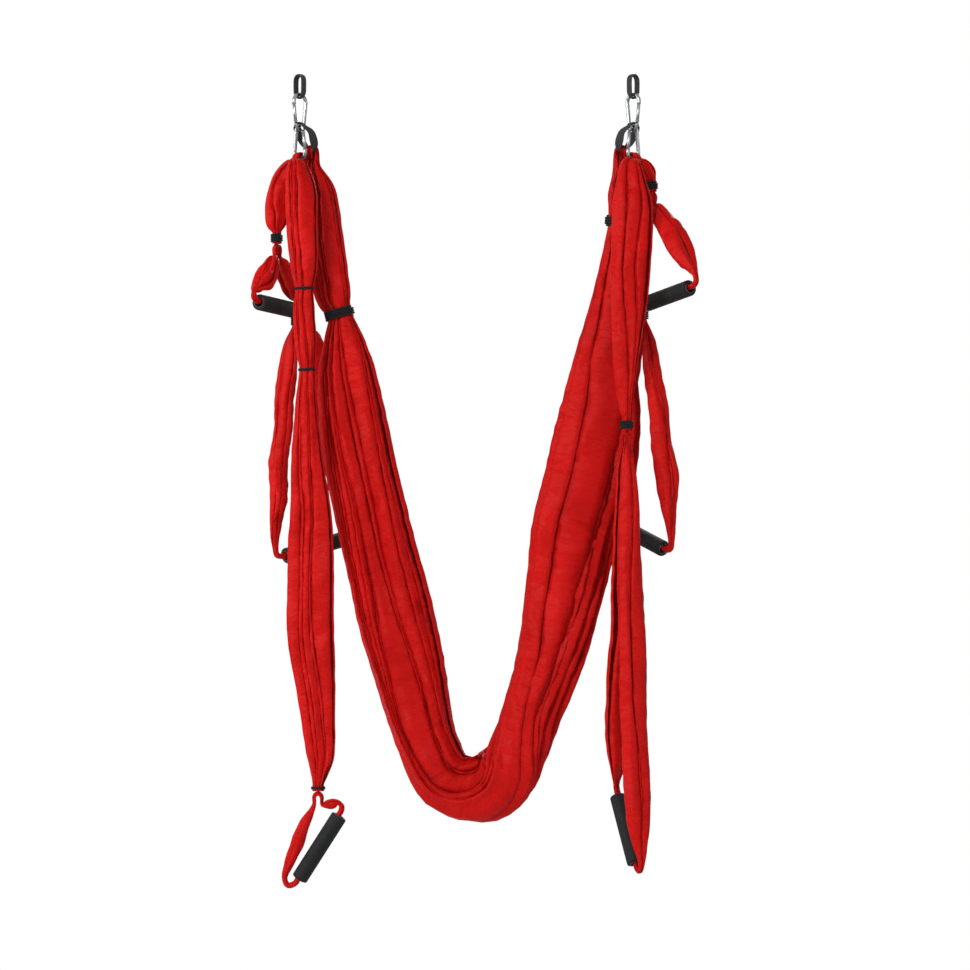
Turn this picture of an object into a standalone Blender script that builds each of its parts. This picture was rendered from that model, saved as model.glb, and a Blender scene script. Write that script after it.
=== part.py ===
"""Aerial yoga hammock: a gathered cloth sling with six foam hand loops, hung from two pairs of carabiners.

Lengths are metres, +Z is up and the front is -Y. The origin lies midway between the two points where the
webbing hanger loops are hooked up, so the whole hammock lies below it.
"""
import math

import bmesh
import bpy
import numpy as np
from mathutils import Matrix, Vector

# Fits shared by every piece
TOUCH_GAP = 0.0003
CUT_OVERRUN = 0.002
WELD_DISTANCE = 0.00003
SHARP_ANGLE_DEG = 50.0

# Hang points and webbing hanger loops
HANG_SPAN = 0.600
HANGER_EYE = 0.037
HANGER_EYE_WIDTH = 0.017
HANGER_BIGHT = 0.005
HANGER_THICKNESS = 0.0035
HANGER_WIDTH = 0.011
HANGER_PLAY = 0.0006

# Snap carabiners
CARABINER_LENGTH = 0.070
CARABINER_BROAD = 0.035
CARABINER_NARROW = 0.026
CARABINER_STOCK = 0.007
CARABINER_YAW_DEG = 45.0
HINGE_SHOULDER = 0.001
HINGE_RISE = 0.005
TONGUE_THICKNESS = 0.0024
TONGUE_END = 0.0026
GATE_DIAMETER = 0.006
GATE_HEEL = 0.0032
GATE_SLOT_END = 0.0050
NOSE_LENGTH = 0.004
NOSE_GAP = 0.0004
PIN_DIAMETER = 0.002
PIN_HEAD_DIAMETER = 0.0032
PIN_HEAD_LENGTH = 0.0005

# Webbing slings that carry the gathered cloth
SLING_THICKNESS = 0.002
SLING_NECK_WIDTH = 0.009
SLING_WIDTH = 0.013
SLING_DROP = 0.050
SLING_REACH = 0.029
SLING_BIGHT_WIDTH = 0.007
SLING_SPREAD = 0.0165

# Main cloth, gathered lengthways into a U
CLOTH_DROP = 1.153
CLOTH_WIDTH = 0.170
CLOTH_DEPTH = 0.078
CLOTH_SETBACK = 0.020
CLOTH_NECK_WIDTH = 0.012
CLOTH_NECK_DEPTH = 0.009
CLOTH_TAIL = 0.014
CLOTH_FOLDS = 6
CLOTH_FOLD_SHARE = 0.11

# Handle straps
STRAP_WIDTH = 0.086
STRAP_DEPTH = 0.026
STRAP_NECK_WIDTH = 0.010
STRAP_NECK_DEPTH = 0.005
STRAP_TAIL = 0.008
STRAP_GATHER = 0.020
TIE_GATHER = 0.012
STRAP_SEAT_GAP = 0.0005
STRAP_FOLDS = 5
STRAP_FOLD_SHARE = 0.10
FRONT_OFFSET = 0.052
OUTER_SETBACK = 0.006
OUTER_DROP_LEFT = 0.150
OUTER_DROP_RIGHT = 0.056
OUTER_REACH_LEFT = 0.042
OUTER_REACH_RIGHT = 0.034
LONG_DROP_LEFT = 0.385
LONG_DROP_RIGHT = 0.488
LOWER_DROP_LEFT = 0.738
LONG_SHIFT_LEFT = 0.0162
LONG_SHIFT_RIGHT = 0.0140
LOWER_SHIFT_LEFT = 0.0200

# Gathered ends of the straps: width and depth
OUTER_END = (0.0155, 0.012)
LONG_END_LEFT = (0.0275, 0.013)
LONG_END_RIGHT = (0.0175, 0.0125)
LOWER_END_LEFT = (0.0215, 0.0125)

# Hand loops and foam grips
GRIP_LENGTH = 0.133
FOAM_DIAMETER = 0.029
FOAM_ROUNDING = 0.003
TUBE_DIAMETER = 0.020
TUBE_WALL = 0.00175
TUBE_OVERHANG = 0.001
LOOP_BUNDLE = 0.0110
LOOP_ARCH_RADIUS = 0.007
LOOP_ARCH_THICKNESS = 0.008
LOOP_ARCH_DEPTH = 0.009
LOOP_LEAD = 0.0085
LOOP_BEND = 0.010
LOOP_TURN_RUN = 0.012
LOOP_CLEARANCE = 0.001
LOOP_SEAT_DEG = 30.0
SHORT_DROP_LEFT = 0.106
SHORT_DROP_RIGHT = 0.184
SHORT_SHIFT_LEFT = 0.0
SHORT_SHIFT_RIGHT = -0.050
MEDIUM_DROP_LEFT = 0.425
MEDIUM_DROP_RIGHT = 0.412
MEDIUM_SHIFT_LEFT = 0.036
MEDIUM_SHIFT_RIGHT = 0.0
LONG_LOOP_DROP_LEFT = 0.095
LONG_LOOP_DROP_RIGHT = 0.705

# Cord windings and ties
CORD_DIAMETER = 0.0036
CORD_TURN_GAP = 0.0008
TIE_DIAMETER = 0.0024
BAND_CLEARANCE = 0.0001
BAND_TURNS = 3
CLOTH_BAND_TURNS = 3
TIE_TURNS = 2
JUNCTION_DEPTH = 0.013
NECK_LENGTH_SHARE = 2.8
LEG_STEP_SHARES = (0.35, 0.72)
TURN_STEP_SHARES = (1, 0.5, 0)
NECK_DROP_SHARE = 1.75

# Legs of the hand loops: size within the loop's plane, size across it, and how far a leg bows out
SHORT_LEGS = (0.022, 0.028, 0.004)
MEDIUM_LEGS = (0.024, 0.030, 0.006)
LONG_LEGS_LEFT = (0.024, 0.018, 0.002)
LONG_LEGS_RIGHT = (0.018, 0.040, 0.004)
# How full the outer and the inner leg are
SHORT_FULLNESS_SHARES = (1.0, 0.65)
MEDIUM_FULLNESS_SHARES = (1.0, 1.0)
LONG_FULLNESS_LEFT_SHARES = (1.0, 0.6)
LONG_FULLNESS_RIGHT_SHARES = (1.0, 0.85)

# Sections along the main cloth, from the left neck to the right neck:
# across as a share of half the span, down as a share of the drop, width and depth as shares of the largest
CLOTH_SHARES = (
    (-0.921, 0.028, 0.15, 0.24),
    (-0.897, 0.075, 0.33, 0.42),
    (-0.861, 0.144, 0.35, 0.45),
    (-0.812, 0.200, 0.30, 0.38),
    (-0.762, 0.252, 0.27, 0.30),
    (-0.735, 0.288, 0.38, 0.42),
    (-0.705, 0.340, 0.53, 0.60),
    (-0.657, 0.439, 0.66, 0.74),
    (-0.591, 0.548, 0.76, 0.84),
    (-0.500, 0.650, 0.81, 0.90),
    (-0.387, 0.769, 0.79, 0.94),
    (-0.303, 0.862, 0.72, 0.97),
    (-0.225, 0.931, 0.66, 1.00),
    (-0.131, 0.980, 0.67, 1.00),
    (-0.010, 0.996, 0.70, 1.00),
    (0.123, 0.997, 0.73, 1.00),
    (0.240, 0.976, 0.71, 1.00),
    (0.325, 0.929, 0.67, 0.98),
    (0.387, 0.880, 0.65, 0.95),
    (0.450, 0.832, 0.68, 0.93),
    (0.549, 0.711, 0.85, 0.92),
    (0.645, 0.590, 0.94, 0.88),
    (0.717, 0.517, 0.98, 0.84),
    (0.789, 0.415, 0.94, 0.76),
    (0.822, 0.321, 0.69, 0.64),
    (0.858, 0.233, 0.45, 0.50),
    (0.888, 0.168, 0.31, 0.38),
    (0.909, 0.109, 0.22, 0.28),
    (0.914, 0.067, 0.23, 0.32),
    (0.921, 0.033, 0.15, 0.24),
)
CLOTH_BAND_LEFT_SHARE = 0.252
CLOTH_BAND_RIGHT_SHARE = 0.109

# Sections down the straps: shares of the sideways shift, front offset, drop, strap width and strap depth
OUTER_SHARES_LEFT = (
    (0.24, 1.20, 0.09, 0.13, 0.26),
    (0.52, 1.10, 0.17, 0.30, 0.62),
    (0.80, 1.00, 0.34, 0.46, 1.00),
    (1.00, 1.00, 0.58, 0.49, 1.00),
    (1.02, 1.00, 0.76, 0.38, 0.82),
)
OUTER_SHARES_RIGHT = (
    (0.34, 0.60, 0.21, 0.12, 0.24),
    (0.76, 1.00, 0.37, 0.24, 0.50),
    (0.97, 1.00, 0.54, 0.23, 0.56),
)
LONG_SHARES_LEFT = (
    (-0.30, 0.46, 0.035, 0.14, 0.26),
    (0.20, 0.66, 0.09, 0.36, 0.62),
    (0.50, 0.84, 0.18, 0.58, 1.00),
    (0.54, 0.95, 0.36, 0.60, 1.00),
    (0.68, 1.00, 0.54, 0.50, 0.90),
    (0.72, 1.00, 0.61, 0.37, 0.62),
    (0.68, 1.00, 0.68, 0.43, 0.80),
    (0.74, 1.00, 0.80, 0.45, 0.85),
    (0.92, 1.00, 0.92, 0.39, 0.70),
)
LONG_SHARES_RIGHT = (
    (0.00, 0.46, 0.028, 0.14, 0.26),
    (0.20, 0.68, 0.075, 0.42, 0.66),
    (0.25, 0.84, 0.17, 0.80, 1.00),
    (0.35, 0.97, 0.32, 0.87, 1.00),
    (0.55, 1.00, 0.50, 0.83, 1.00),
    (0.85, 1.00, 0.64, 0.66, 0.95),
    (1.20, 1.00, 0.78, 0.46, 0.85),
    (1.20, 1.00, 0.90, 0.30, 0.66),
)
LOWER_SHARES_LEFT = (
    (0.00, 0.00, 0.008, 0.34, 0.54),
    (-0.08, 0.00, 0.05, 0.42, 0.72),
    (-0.05, 0.00, 0.14, 0.56, 0.88),
    (0.12, 0.00, 0.23, 0.70, 0.96),
    (0.30, 0.00, 0.33, 0.84, 1.00),
    (0.34, 0.00, 0.45, 0.96, 1.00),
    (0.28, 0.00, 0.57, 0.99, 1.00),
    (0.60, 0.00, 0.70, 0.88, 0.97),
    (1.00, 0.00, 0.83, 0.68, 0.90),
    (1.20, 0.00, 0.92, 0.56, 0.80),
    (1.10, 0.00, 0.960, 0.36, 0.62),
)
TIE_UPPER_LEFT_SHARE = 0.61

# Planes and tilts of the hand loops, seen from above and within their own plane
SHORT_YAW_LEFT_DEG = 66.0
SHORT_YAW_RIGHT_DEG = 58.0
SHORT_TILT_LEFT_DEG = 3.0
SHORT_TILT_RIGHT_DEG = 9.0
MEDIUM_YAW_LEFT_DEG = 42.0
MEDIUM_YAW_RIGHT_DEG = 56.0
MEDIUM_TILT_LEFT_DEG = -12.0
MEDIUM_TILT_RIGHT_DEG = -17.0
LONG_YAW_LEFT_DEG = 0.0
LONG_YAW_RIGHT_DEG = 67.0
LONG_TILT_DEG = -57.5

# Facets
RING_CLOTH = 24
RING_STRAP = 15
RING_LOOP = 8
RING_WEBBING = 6
WEBBING_STEPS = 2
LOOP_STEPS = 2
GRIP_STEPS = 14
CURL_POINTS = 8

# Places that follow from the sizes above
BAR_RADIUS = CARABINER_STOCK / 2
HALF_SPAN = HANG_SPAN / 2
UP = Vector((0, 0, 1))
BAR_TO_BAR = CARABINER_LENGTH - CARABINER_STOCK
UPPER_TOP_Z = -HANGER_EYE + HANGER_PLAY + BAR_RADIUS
UPPER_BOTTOM_Z = UPPER_TOP_Z - BAR_TO_BAR
LOWER_TOP_Z = UPPER_BOTTOM_Z + CARABINER_STOCK + TOUCH_GAP
LOWER_BOTTOM_Z = LOWER_TOP_Z - BAR_TO_BAR
SLING_BOTTOM_Z = LOWER_TOP_Z + BAR_RADIUS + TOUCH_GAP + SLING_THICKNESS / 2 - SLING_DROP

RED = (0.52, 0.012, 0.010)
BLACK = (0.012, 0.013, 0.013)
CORD = (0.020, 0.026, 0.026)
STEEL = (0.42, 0.43, 0.44)


def clear_scene():
    for thing in list(bpy.data.objects):
        bpy.data.objects.remove(thing, do_unlink=True)


def new_collection(name):
    collection = bpy.data.collections.new(name)
    bpy.context.scene.collection.children.link(collection)
    return collection


def material(name, colour, roughness, metallic=0.0):
    made = bpy.data.materials.new(name)
    made.use_nodes = True
    shader = made.node_tree.nodes["Principled BSDF"]
    shader.inputs["Base Color"].default_value = (*colour, 1.0)
    shader.inputs["Roughness"].default_value = roughness
    shader.inputs["Metallic"].default_value = metallic
    return made


def side_axes(sign):
    """Unit vectors at one hang point: along the upper carabiner's plane, inward and back, and across it."""
    yaw = math.radians(CARABINER_YAW_DEG)
    inward = Vector((-sign * math.cos(yaw), math.sin(yaw), 0))
    square = Vector((sign * math.sin(yaw), math.cos(yaw), 0))
    return inward, square


def link(name, mesh, look, parent=None, matrix=None):
    """Put a mesh into the hammock's collection, with its origin on its parent empty when it moves."""
    thing = bpy.data.objects.new(name, mesh)
    PARTS.objects.link(thing)
    mesh.materials.clear()
    mesh.materials.append(look)
    mesh.shade_smooth()
    mesh.set_sharp_from_angle(angle=math.radians(SHARP_ANGLE_DEG))
    if parent is not None:
        thing.parent = parent
    if matrix is not None:
        thing.matrix_world = matrix
    return thing


def pivot(name, place, parent=None):
    """An empty on a joint's axis, carried by the empty of the piece that it hangs from."""
    empty = bpy.data.objects.new(name, None)
    empty.empty_display_size = FOAM_DIAMETER
    PARTS.objects.link(empty)
    empty.parent = parent
    bpy.context.view_layer.update()
    empty.matrix_world = Matrix.Translation(place)
    bpy.context.view_layer.update()
    return empty


def spread(here, there):
    """Root of the distance between two rows' places, or one where they coincide."""
    return math.sqrt(np.linalg.norm((there - here)[:3])) or 1


def spline(rows, steps, cyclic=False):
    """Rows of numbers joined by a centripetal Catmull-Rom curve, in so many steps from one to the next."""
    rows = np.array(rows, dtype=float)
    count = len(rows)
    last = count if cyclic else count - 1
    made = []
    for i in range(last):
        if cyclic:
            a, b, c, d = (rows[(i + k) % count] for k in (-1, 0, 1, 2))
        else:
            a, b, c, d = (rows[min(max(i + k, 0), count - 1)] for k in (-1, 0, 1, 2))
        before, along, after = (spread(p, q) for p, q in ((a, b), (b, c), (c, d)))
        leave = (c - b) + along * ((b - a) / before - (c - a) / (before + along))
        arrive = (c - b) + along * ((d - c) / after - (d - b) / (along + after))
        for step in range(steps):
            t = step / steps
            bend = (t - 1) * (leave * (t - 1) + arrive * t)
            made.append(b * (1 - t) ** 2 * (1 + 2 * t) + c * t * t * (3 - 2 * t) + t * bend)
    if not cyclic:
        made.append(rows[-1])
    return np.array(made)


def row(place, width, depth, side):
    """One section of a loft: its centre, its size along the side vector and across it, and that vector."""
    return (*place, width, depth, *side)


def loft(name, rows, ring, folds=0, fold_share=0.0, cyclic=False):
    """A closed skin through sections square to a route; its folds fade where it is gathered."""
    rows = np.array(rows, dtype=float)
    count = len(rows)
    widest = rows[:, 3].max()
    mesh_maker = bmesh.new()
    rings = []
    for i in range(count):
        before = rows[i - 1] if cyclic or i else rows[0]
        after = rows[(i + 1) % count] if cyclic or i < count - 1 else rows[-1]
        heading = Vector(after[:3] - before[:3]).normalized()
        side = Vector(rows[i, 5:8])
        side = (side - heading * side.dot(heading)).normalized()
        across = side.cross(heading)
        width, depth = rows[i, 3], rows[i, 4]
        fade = fold_share * math.sqrt(width / widest)
        vertices = []
        for k in range(ring):
            angle = 2 * math.pi * k / ring
            swell = 1 + fade * math.cos(folds * angle + 2 * math.pi * i / count) if folds else 1
            offset = side * (math.cos(angle) * width / 2) + across * (math.sin(angle) * depth / 2)
            vertices.append(mesh_maker.verts.new(Vector(rows[i, :3]) + offset * swell))
        rings.append(vertices)
    for i in range(count if cyclic else count - 1):
        here, there = rings[i], rings[(i + 1) % count]
        for k in range(ring):
            n = (k + 1) % ring
            mesh_maker.faces.new((here[k], here[n], there[n], there[k]))
    if not cyclic:
        mesh_maker.faces.new(rings[0])
        mesh_maker.faces.new(rings[-1])
    bmesh.ops.recalc_face_normals(mesh_maker, faces=mesh_maker.faces)
    mesh = bpy.data.meshes.new(name)
    mesh_maker.to_mesh(mesh)
    mesh_maker.free()
    return mesh


def hook_rows(bar, outward, radius, tail, width, depth, side):
    """Sections of cloth that hangs over a bar: up the tail, over the bar, down on the outward side."""
    rows = [row(bar - outward * radius - UP * tail, width, depth, side)]
    for degrees in (180, 135, 90, 45, 0):
        angle = math.radians(degrees)
        place = bar + outward * (radius * math.cos(angle)) + UP * (radius * math.sin(angle))
        rows.append(row(place, width, depth, side))
    return rows


def carabiner_frame():
    """Centres and radii of the two bows, and the gate line, in the carabiner's plane (gate side, up)."""
    narrow = (CARABINER_NARROW - CARABINER_STOCK) / 2
    broad = (CARABINER_BROAD - CARABINER_STOCK) / 2
    rise = BAR_TO_BAR - broad
    lean = math.asin((broad - narrow) / (rise - narrow))
    return narrow, broad, rise, lean


def gate_heading():
    lean = carabiner_frame()[3]
    return Vector((math.sin(lean), 0, math.cos(lean)))


def gate_line(distance):
    """A point on the gate's centre line, that far up from the narrow bow."""
    narrow, _, _, lean = carabiner_frame()
    start = Vector((narrow * math.cos(lean), 0, narrow - narrow * math.sin(lean)))
    return start + gate_heading() * distance


def gate_run():
    narrow, _, rise, lean = carabiner_frame()
    return (rise - narrow) * math.cos(lean)


def tube_mesh(name, points, radius, resolution, cyclic=False):
    """A round bar along points, as a mesh with welded caps."""
    curve = bpy.data.curves.new(name, "CURVE")
    curve.dimensions = "3D"
    curve.bevel_depth = radius
    curve.bevel_resolution = resolution
    curve.use_fill_caps = not cyclic
    line = curve.splines.new("POLY")
    line.points.add(len(points) - 1)
    for point, place in zip(line.points, points):
        point.co = (*place, 1.0)
    line.use_cyclic_u = cyclic
    guide = bpy.data.objects.new(name + "_guide", curve)
    bpy.context.scene.collection.objects.link(guide)
    evaluated = guide.evaluated_get(bpy.context.evaluated_depsgraph_get())
    mesh = bpy.data.meshes.new_from_object(evaluated)
    mesh.name = name
    bpy.data.objects.remove(guide, do_unlink=True)
    bpy.data.curves.remove(curve)
    maker = bmesh.new()
    maker.from_mesh(mesh)
    bmesh.ops.remove_doubles(maker, verts=maker.verts, dist=WELD_DISTANCE)
    bmesh.ops.recalc_face_normals(maker, faces=maker.faces)
    maker.to_mesh(mesh)
    maker.free()
    return mesh


def cutter(name, mesh, matrix):
    """A mesh that only cuts, kept in the cutters' collection."""
    thing = bpy.data.objects.new(name, mesh)
    thing.matrix_world = matrix
    thing.hide_render = True
    thing.display_type = "WIRE"
    CUTTERS.objects.link(thing)
    return thing


def box_mesh(name, size):
    mesh = bpy.data.meshes.new(name)
    maker = bmesh.new()
    bmesh.ops.create_cube(maker, size=1, matrix=Matrix.Diagonal((*size, 1)))
    maker.to_mesh(mesh)
    maker.free()
    return mesh


def cylinder_mesh(name, radius, length, segments, along):
    """A closed cylinder about the origin, its axis turned to the given direction."""
    mesh = bpy.data.meshes.new(name)
    maker = bmesh.new()
    turn = along.to_track_quat("Z", "Y").to_matrix().to_4x4()
    bmesh.ops.create_cone(
        maker, cap_ends=True, segments=segments, radius1=radius, radius2=radius, depth=length, matrix=turn
    )
    maker.to_mesh(mesh)
    maker.free()
    return mesh


def cut(mesh, tools):
    """The mesh with every cutter taken out of it, in the carabiner's own axes."""
    blank = bpy.data.objects.new(mesh.name + "_blank", mesh)
    bpy.context.scene.collection.objects.link(blank)
    for tool in tools:
        step = blank.modifiers.new(tool.name, "BOOLEAN")
        step.operation = "DIFFERENCE"
        step.object = tool
    evaluated = blank.evaluated_get(bpy.context.evaluated_depsgraph_get())
    made = bpy.data.meshes.new_from_object(evaluated)
    bpy.data.objects.remove(blank, do_unlink=True)
    made.name = mesh.name
    return made


def carabiner_meshes():
    """Body, gate and hinge pin in the carabiner's own axes: X to the gate, Z to the broad bow."""
    narrow, broad, rise, lean = carabiner_frame()
    lean_degrees = math.degrees(lean)
    pin_distance = HINGE_SHOULDER + HINGE_RISE
    points = [gate_line(pin_distance + TONGUE_END)]
    for degrees in np.linspace(-lean_degrees, -180 + lean_degrees, 9):
        angle = math.radians(degrees)
        points.append(Vector((narrow * math.cos(angle), 0, narrow + narrow * math.sin(angle))))
    for degrees in np.linspace(180 + lean_degrees, -lean_degrees, 11):
        angle = math.radians(degrees)
        points.append(Vector((broad * math.cos(angle), 0, rise + broad * math.sin(angle))))
    points.append(gate_line(gate_run() - NOSE_LENGTH))
    body = tube_mesh("carabiner_body", points, BAR_RADIUS, 2)

    along = gate_heading()
    tilt = Matrix.Rotation(lean, 4, "Y")
    pin_place = gate_line(pin_distance)
    tongue_run = HINGE_RISE + TONGUE_END + CUT_OVERRUN
    cheek = (CARABINER_STOCK - TONGUE_THICKNESS) / 2 + CUT_OVERRUN
    tools = []
    for number, way in enumerate((-1, 1)):
        size = (CARABINER_STOCK + CUT_OVERRUN, cheek, tongue_run)
        middle = gate_line(HINGE_SHOULDER + tongue_run / 2)
        middle.y = way * (TONGUE_THICKNESS + cheek) / 2
        block = box_mesh("tongue_cut", size)
        tools.append(cutter(f"tongue_cut_{number}", block, Matrix.Translation(middle) @ tilt))
    hole_radius = PIN_DIAMETER / 2 + TOUCH_GAP
    through = CARABINER_STOCK + 2 * CUT_OVERRUN
    hole = cylinder_mesh("pin_hole", hole_radius, through, 10, Vector((0, 1, 0)))
    hole_tool = cutter("pin_hole_cut", hole, Matrix.Translation(pin_place))
    body = cut(body, tools + [hole_tool])

    start = pin_distance - GATE_HEEL
    end = gate_run() - NOSE_LENGTH - NOSE_GAP
    gate = cylinder_mesh("carabiner_gate", GATE_DIAMETER / 2, end - start, 10, along)
    gate.transform(Matrix.Translation(gate_line((start + end) / 2)))
    slot_run = GATE_HEEL + GATE_SLOT_END + CUT_OVERRUN
    slot_size = (GATE_DIAMETER + CUT_OVERRUN, TONGUE_THICKNESS + 2 * TOUCH_GAP, slot_run)
    slot_place = gate_line(pin_distance + GATE_SLOT_END - slot_run / 2)
    slot = cutter("gate_slot_cut", box_mesh("gate_slot", slot_size), Matrix.Translation(slot_place) @ tilt)
    gate = cut(gate, [slot, hole_tool])

    pin_length = GATE_DIAMETER + 2 * TOUCH_GAP + 2 * PIN_HEAD_LENGTH
    head = pin_length / 2 - PIN_HEAD_LENGTH
    profile = (
        (0, pin_length / 2),
        (PIN_HEAD_DIAMETER / 2, pin_length / 2),
        (PIN_HEAD_DIAMETER / 2, head),
        (PIN_DIAMETER / 2, head),
        (PIN_DIAMETER / 2, -head),
        (PIN_HEAD_DIAMETER / 2, -head),
        (PIN_HEAD_DIAMETER / 2, -pin_length / 2),
        (0, -pin_length / 2),
    )
    pin = turned_mesh("carabiner_pin", profile, 8)
    pin.transform(Matrix.Translation(pin_place) @ Matrix.Rotation(math.radians(90), 4, "X"))
    return body, gate, pin, pin_place


def turned_mesh(name, profile, steps):
    """A profile of (radius, height) points turned about Z with a Screw modifier."""
    maker = bmesh.new()
    corners = [maker.verts.new((radius, 0, height)) for radius, height in profile]
    for here, there in zip(corners, corners[1:]):
        maker.edges.new((here, there))
    if profile[0][0] and profile[-1][0]:
        maker.edges.new((corners[-1], corners[0]))
    mesh = bpy.data.meshes.new(name)
    maker.to_mesh(mesh)
    maker.free()
    blank = bpy.data.objects.new(name + "_profile", mesh)
    bpy.context.scene.collection.objects.link(blank)
    screw = blank.modifiers.new("turn", "SCREW")
    screw.steps = steps
    screw.render_steps = steps
    screw.use_merge_vertices = True
    screw.merge_threshold = WELD_DISTANCE
    evaluated = blank.evaluated_get(bpy.context.evaluated_depsgraph_get())
    made = bpy.data.meshes.new_from_object(evaluated)
    made.name = name
    bpy.data.objects.remove(blank, do_unlink=True)
    maker = bmesh.new()
    maker.from_mesh(made)
    bmesh.ops.recalc_face_normals(maker, faces=maker.faces)
    maker.to_mesh(made)
    maker.free()
    return made


def carabiner(prefix, meshes, bar_z, plane, x, flipped, gate_name):
    """Place one carabiner: its narrow bow's bar at bar_z, its plane along the given direction."""
    body, gate, pin, pin_place = meshes
    up = -UP if flipped else UP
    through = up.cross(plane)
    frame = Matrix((plane, through, up)).transposed().to_4x4()
    frame.translation = Vector((x, 0, bar_z))
    link(prefix, body.copy(), LOOKS["steel"], matrix=frame)
    link(prefix + "_pin", pin.copy(), LOOKS["steel"], matrix=frame)
    hinge = frame @ pin_place
    axis = pivot(gate_name + "_axis", hinge)
    swinging = gate.copy()
    swinging.transform(frame)
    swinging.transform(Matrix.Translation(-hinge))
    link(gate_name, swinging, LOOKS["steel"], axis, Matrix.Translation(hinge))
    joint_note(gate_name, hinge, -through)


def joint_note(name, place, axis):
    """Keep a joint's axis, printed at the end for the people who fit the part."""
    JOINTS.append((name, tuple(place), tuple(axis)))


def hanger_loop(side, sign):
    """Closed webbing loop that the upper carabiner hangs in; its bight is drawn round in there."""
    inward, square = side_axes(sign)
    top = Vector((sign * HALF_SPAN, 0, 0))
    half = HANGER_EYE_WIDTH / 2 + HANGER_THICKNESS / 2
    bottom = -HANGER_EYE - HANGER_BIGHT / 2
    rows = []
    for degrees in (90, 50, 10):
        angle = math.radians(degrees)
        place = top + square * (half * math.cos(angle)) + UP * (half * (math.sin(angle) - 1))
        rows.append(row(place + UP * (HANGER_THICKNESS / 2), HANGER_WIDTH, HANGER_THICKNESS, inward))
    waist_z = (bottom - half) / 2
    rows.append(row(top + square * half + UP * waist_z, HANGER_WIDTH, HANGER_THICKNESS, inward))
    bight = half - TOUCH_GAP
    for degrees in (0, -30, -60):
        angle = math.radians(degrees)
        place = top + square * (bight * math.cos(angle)) + UP * (bottom + bight * (math.sin(angle) + 1))
        share = -degrees / 90
        width = HANGER_WIDTH + (HANGER_BIGHT - HANGER_WIDTH) * share
        depth = HANGER_THICKNESS + (HANGER_BIGHT - HANGER_THICKNESS) * share
        rows.append(row(place, width, depth, inward))
    rows.append(row(top + UP * bottom, HANGER_BIGHT, HANGER_BIGHT, inward))
    rows += mirrored_rows(rows, top, square)
    mesh = loft("hanger", spline(rows, WEBBING_STEPS, True), RING_WEBBING, cyclic=True)
    link(f"hanger_loop_{side}", mesh, LOOKS["webbing"])


def mirrored_rows(rows, middle, across):
    """The rows between the first and the last, mirrored over the plane square to across, in reverse."""
    made = []
    for one in reversed(rows[1:-1]):
        place = Vector(one[:3])
        place -= across * (2 * (place - middle).dot(across))
        made.append(row(place, one[3], one[4], one[5:8]))
    return made


def sling(side, sign):
    """Webbing sling over the lower carabiner's top bow, down both its sides and round the cloth's neck."""
    inward, square = side_axes(sign)
    narrow = carabiner_frame()[0]
    hug = narrow + BAR_RADIUS + TOUCH_GAP + SLING_THICKNESS / 2
    centre = Vector((sign * HALF_SPAN, 0, LOWER_TOP_Z - narrow))
    drop = centre.z + hug - SLING_BOTTOM_Z
    rows = []
    for degrees, reach_share in ((90, 0.0), (58, 0.0), (26, 0.03)):
        angle = math.radians(degrees)
        place = centre + square * (hug * math.cos(angle)) + UP * (hug * math.sin(angle))
        place += inward * (SLING_REACH * reach_share)
        rows.append(row(place, SLING_NECK_WIDTH, SLING_THICKNESS, inward))
    top = centre + UP * hug
    leg_shares = (
        (0.36, 1.00, 0.42, 0.9),
        (0.60, 0.95, 0.64, 1.0),
        (0.82, 0.70, 0.88, 0.8),
        (0.955, 0.42, 0.98, 0.55),
    )
    for down_share, spread_share, reach_share, width_share in leg_shares:
        place = top - UP * (drop * down_share) + square * (SLING_SPREAD * spread_share)
        width = SLING_WIDTH * width_share
        rows.append(row(place + inward * (SLING_REACH * reach_share), width, SLING_THICKNESS, inward))
    bottom = top - UP * drop + inward * SLING_REACH
    rows.append(row(bottom, SLING_BIGHT_WIDTH, SLING_THICKNESS, inward))
    rows += mirrored_rows(rows, top, square)
    mesh = loft("sling", spline(rows, WEBBING_STEPS, True), RING_WEBBING, cyclic=True)
    link(f"cloth_sling_{side}", mesh, LOOKS["webbing"])
    return bottom


def cloth_place(shares):
    across, down = shares[:2]
    return Vector((HALF_SPAN * across, CLOTH_SETBACK, SLING_BOTTOM_Z - CLOTH_DROP * down))


def main_cloth(left_bight, right_bight):
    """The gathered cloth: over the left sling, down, through the U and up over the right sling."""
    radius = SLING_BIGHT_WIDTH / 2 + TOUCH_GAP + CLOTH_NECK_DEPTH / 2
    inward, square = side_axes(-1)
    rows = hook_rows(left_bight, inward, radius, CLOTH_TAIL, CLOTH_NECK_WIDTH, CLOTH_NECK_DEPTH, -square)
    places = [cloth_place(shares) for shares in CLOTH_SHARES]
    last = len(places) - 1
    for i, shares in enumerate(CLOTH_SHARES):
        heading = places[min(i + 1, last)] - places[max(i - 1, 0)]
        side = Vector((-heading.z, 0, heading.x)).normalized()
        rows.append(row(places[i], CLOTH_WIDTH * shares[2], CLOTH_DEPTH * shares[3], side))
    inward, square = side_axes(1)
    right = hook_rows(right_bight, inward, radius, CLOTH_TAIL, CLOTH_NECK_WIDTH, CLOTH_NECK_DEPTH, -square)
    rows += reversed(right)
    mesh = loft("cloth", rows, RING_CLOTH, CLOTH_FOLDS, CLOTH_FOLD_SHARE)
    link("hammock_cloth", mesh, LOOKS["cloth"])


def strap_rows(start, shift, front, drop, table):
    """Sections down a strap, from shares of its shift, front offset, drop, width and depth."""
    rows = []
    for across, forward, down, width, depth in table:
        place = start + Vector((shift * across, -front * forward, -drop * down))
        rows.append(row(place, STRAP_WIDTH * width, STRAP_DEPTH * depth, (1, 0, 0)))
    return rows


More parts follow.
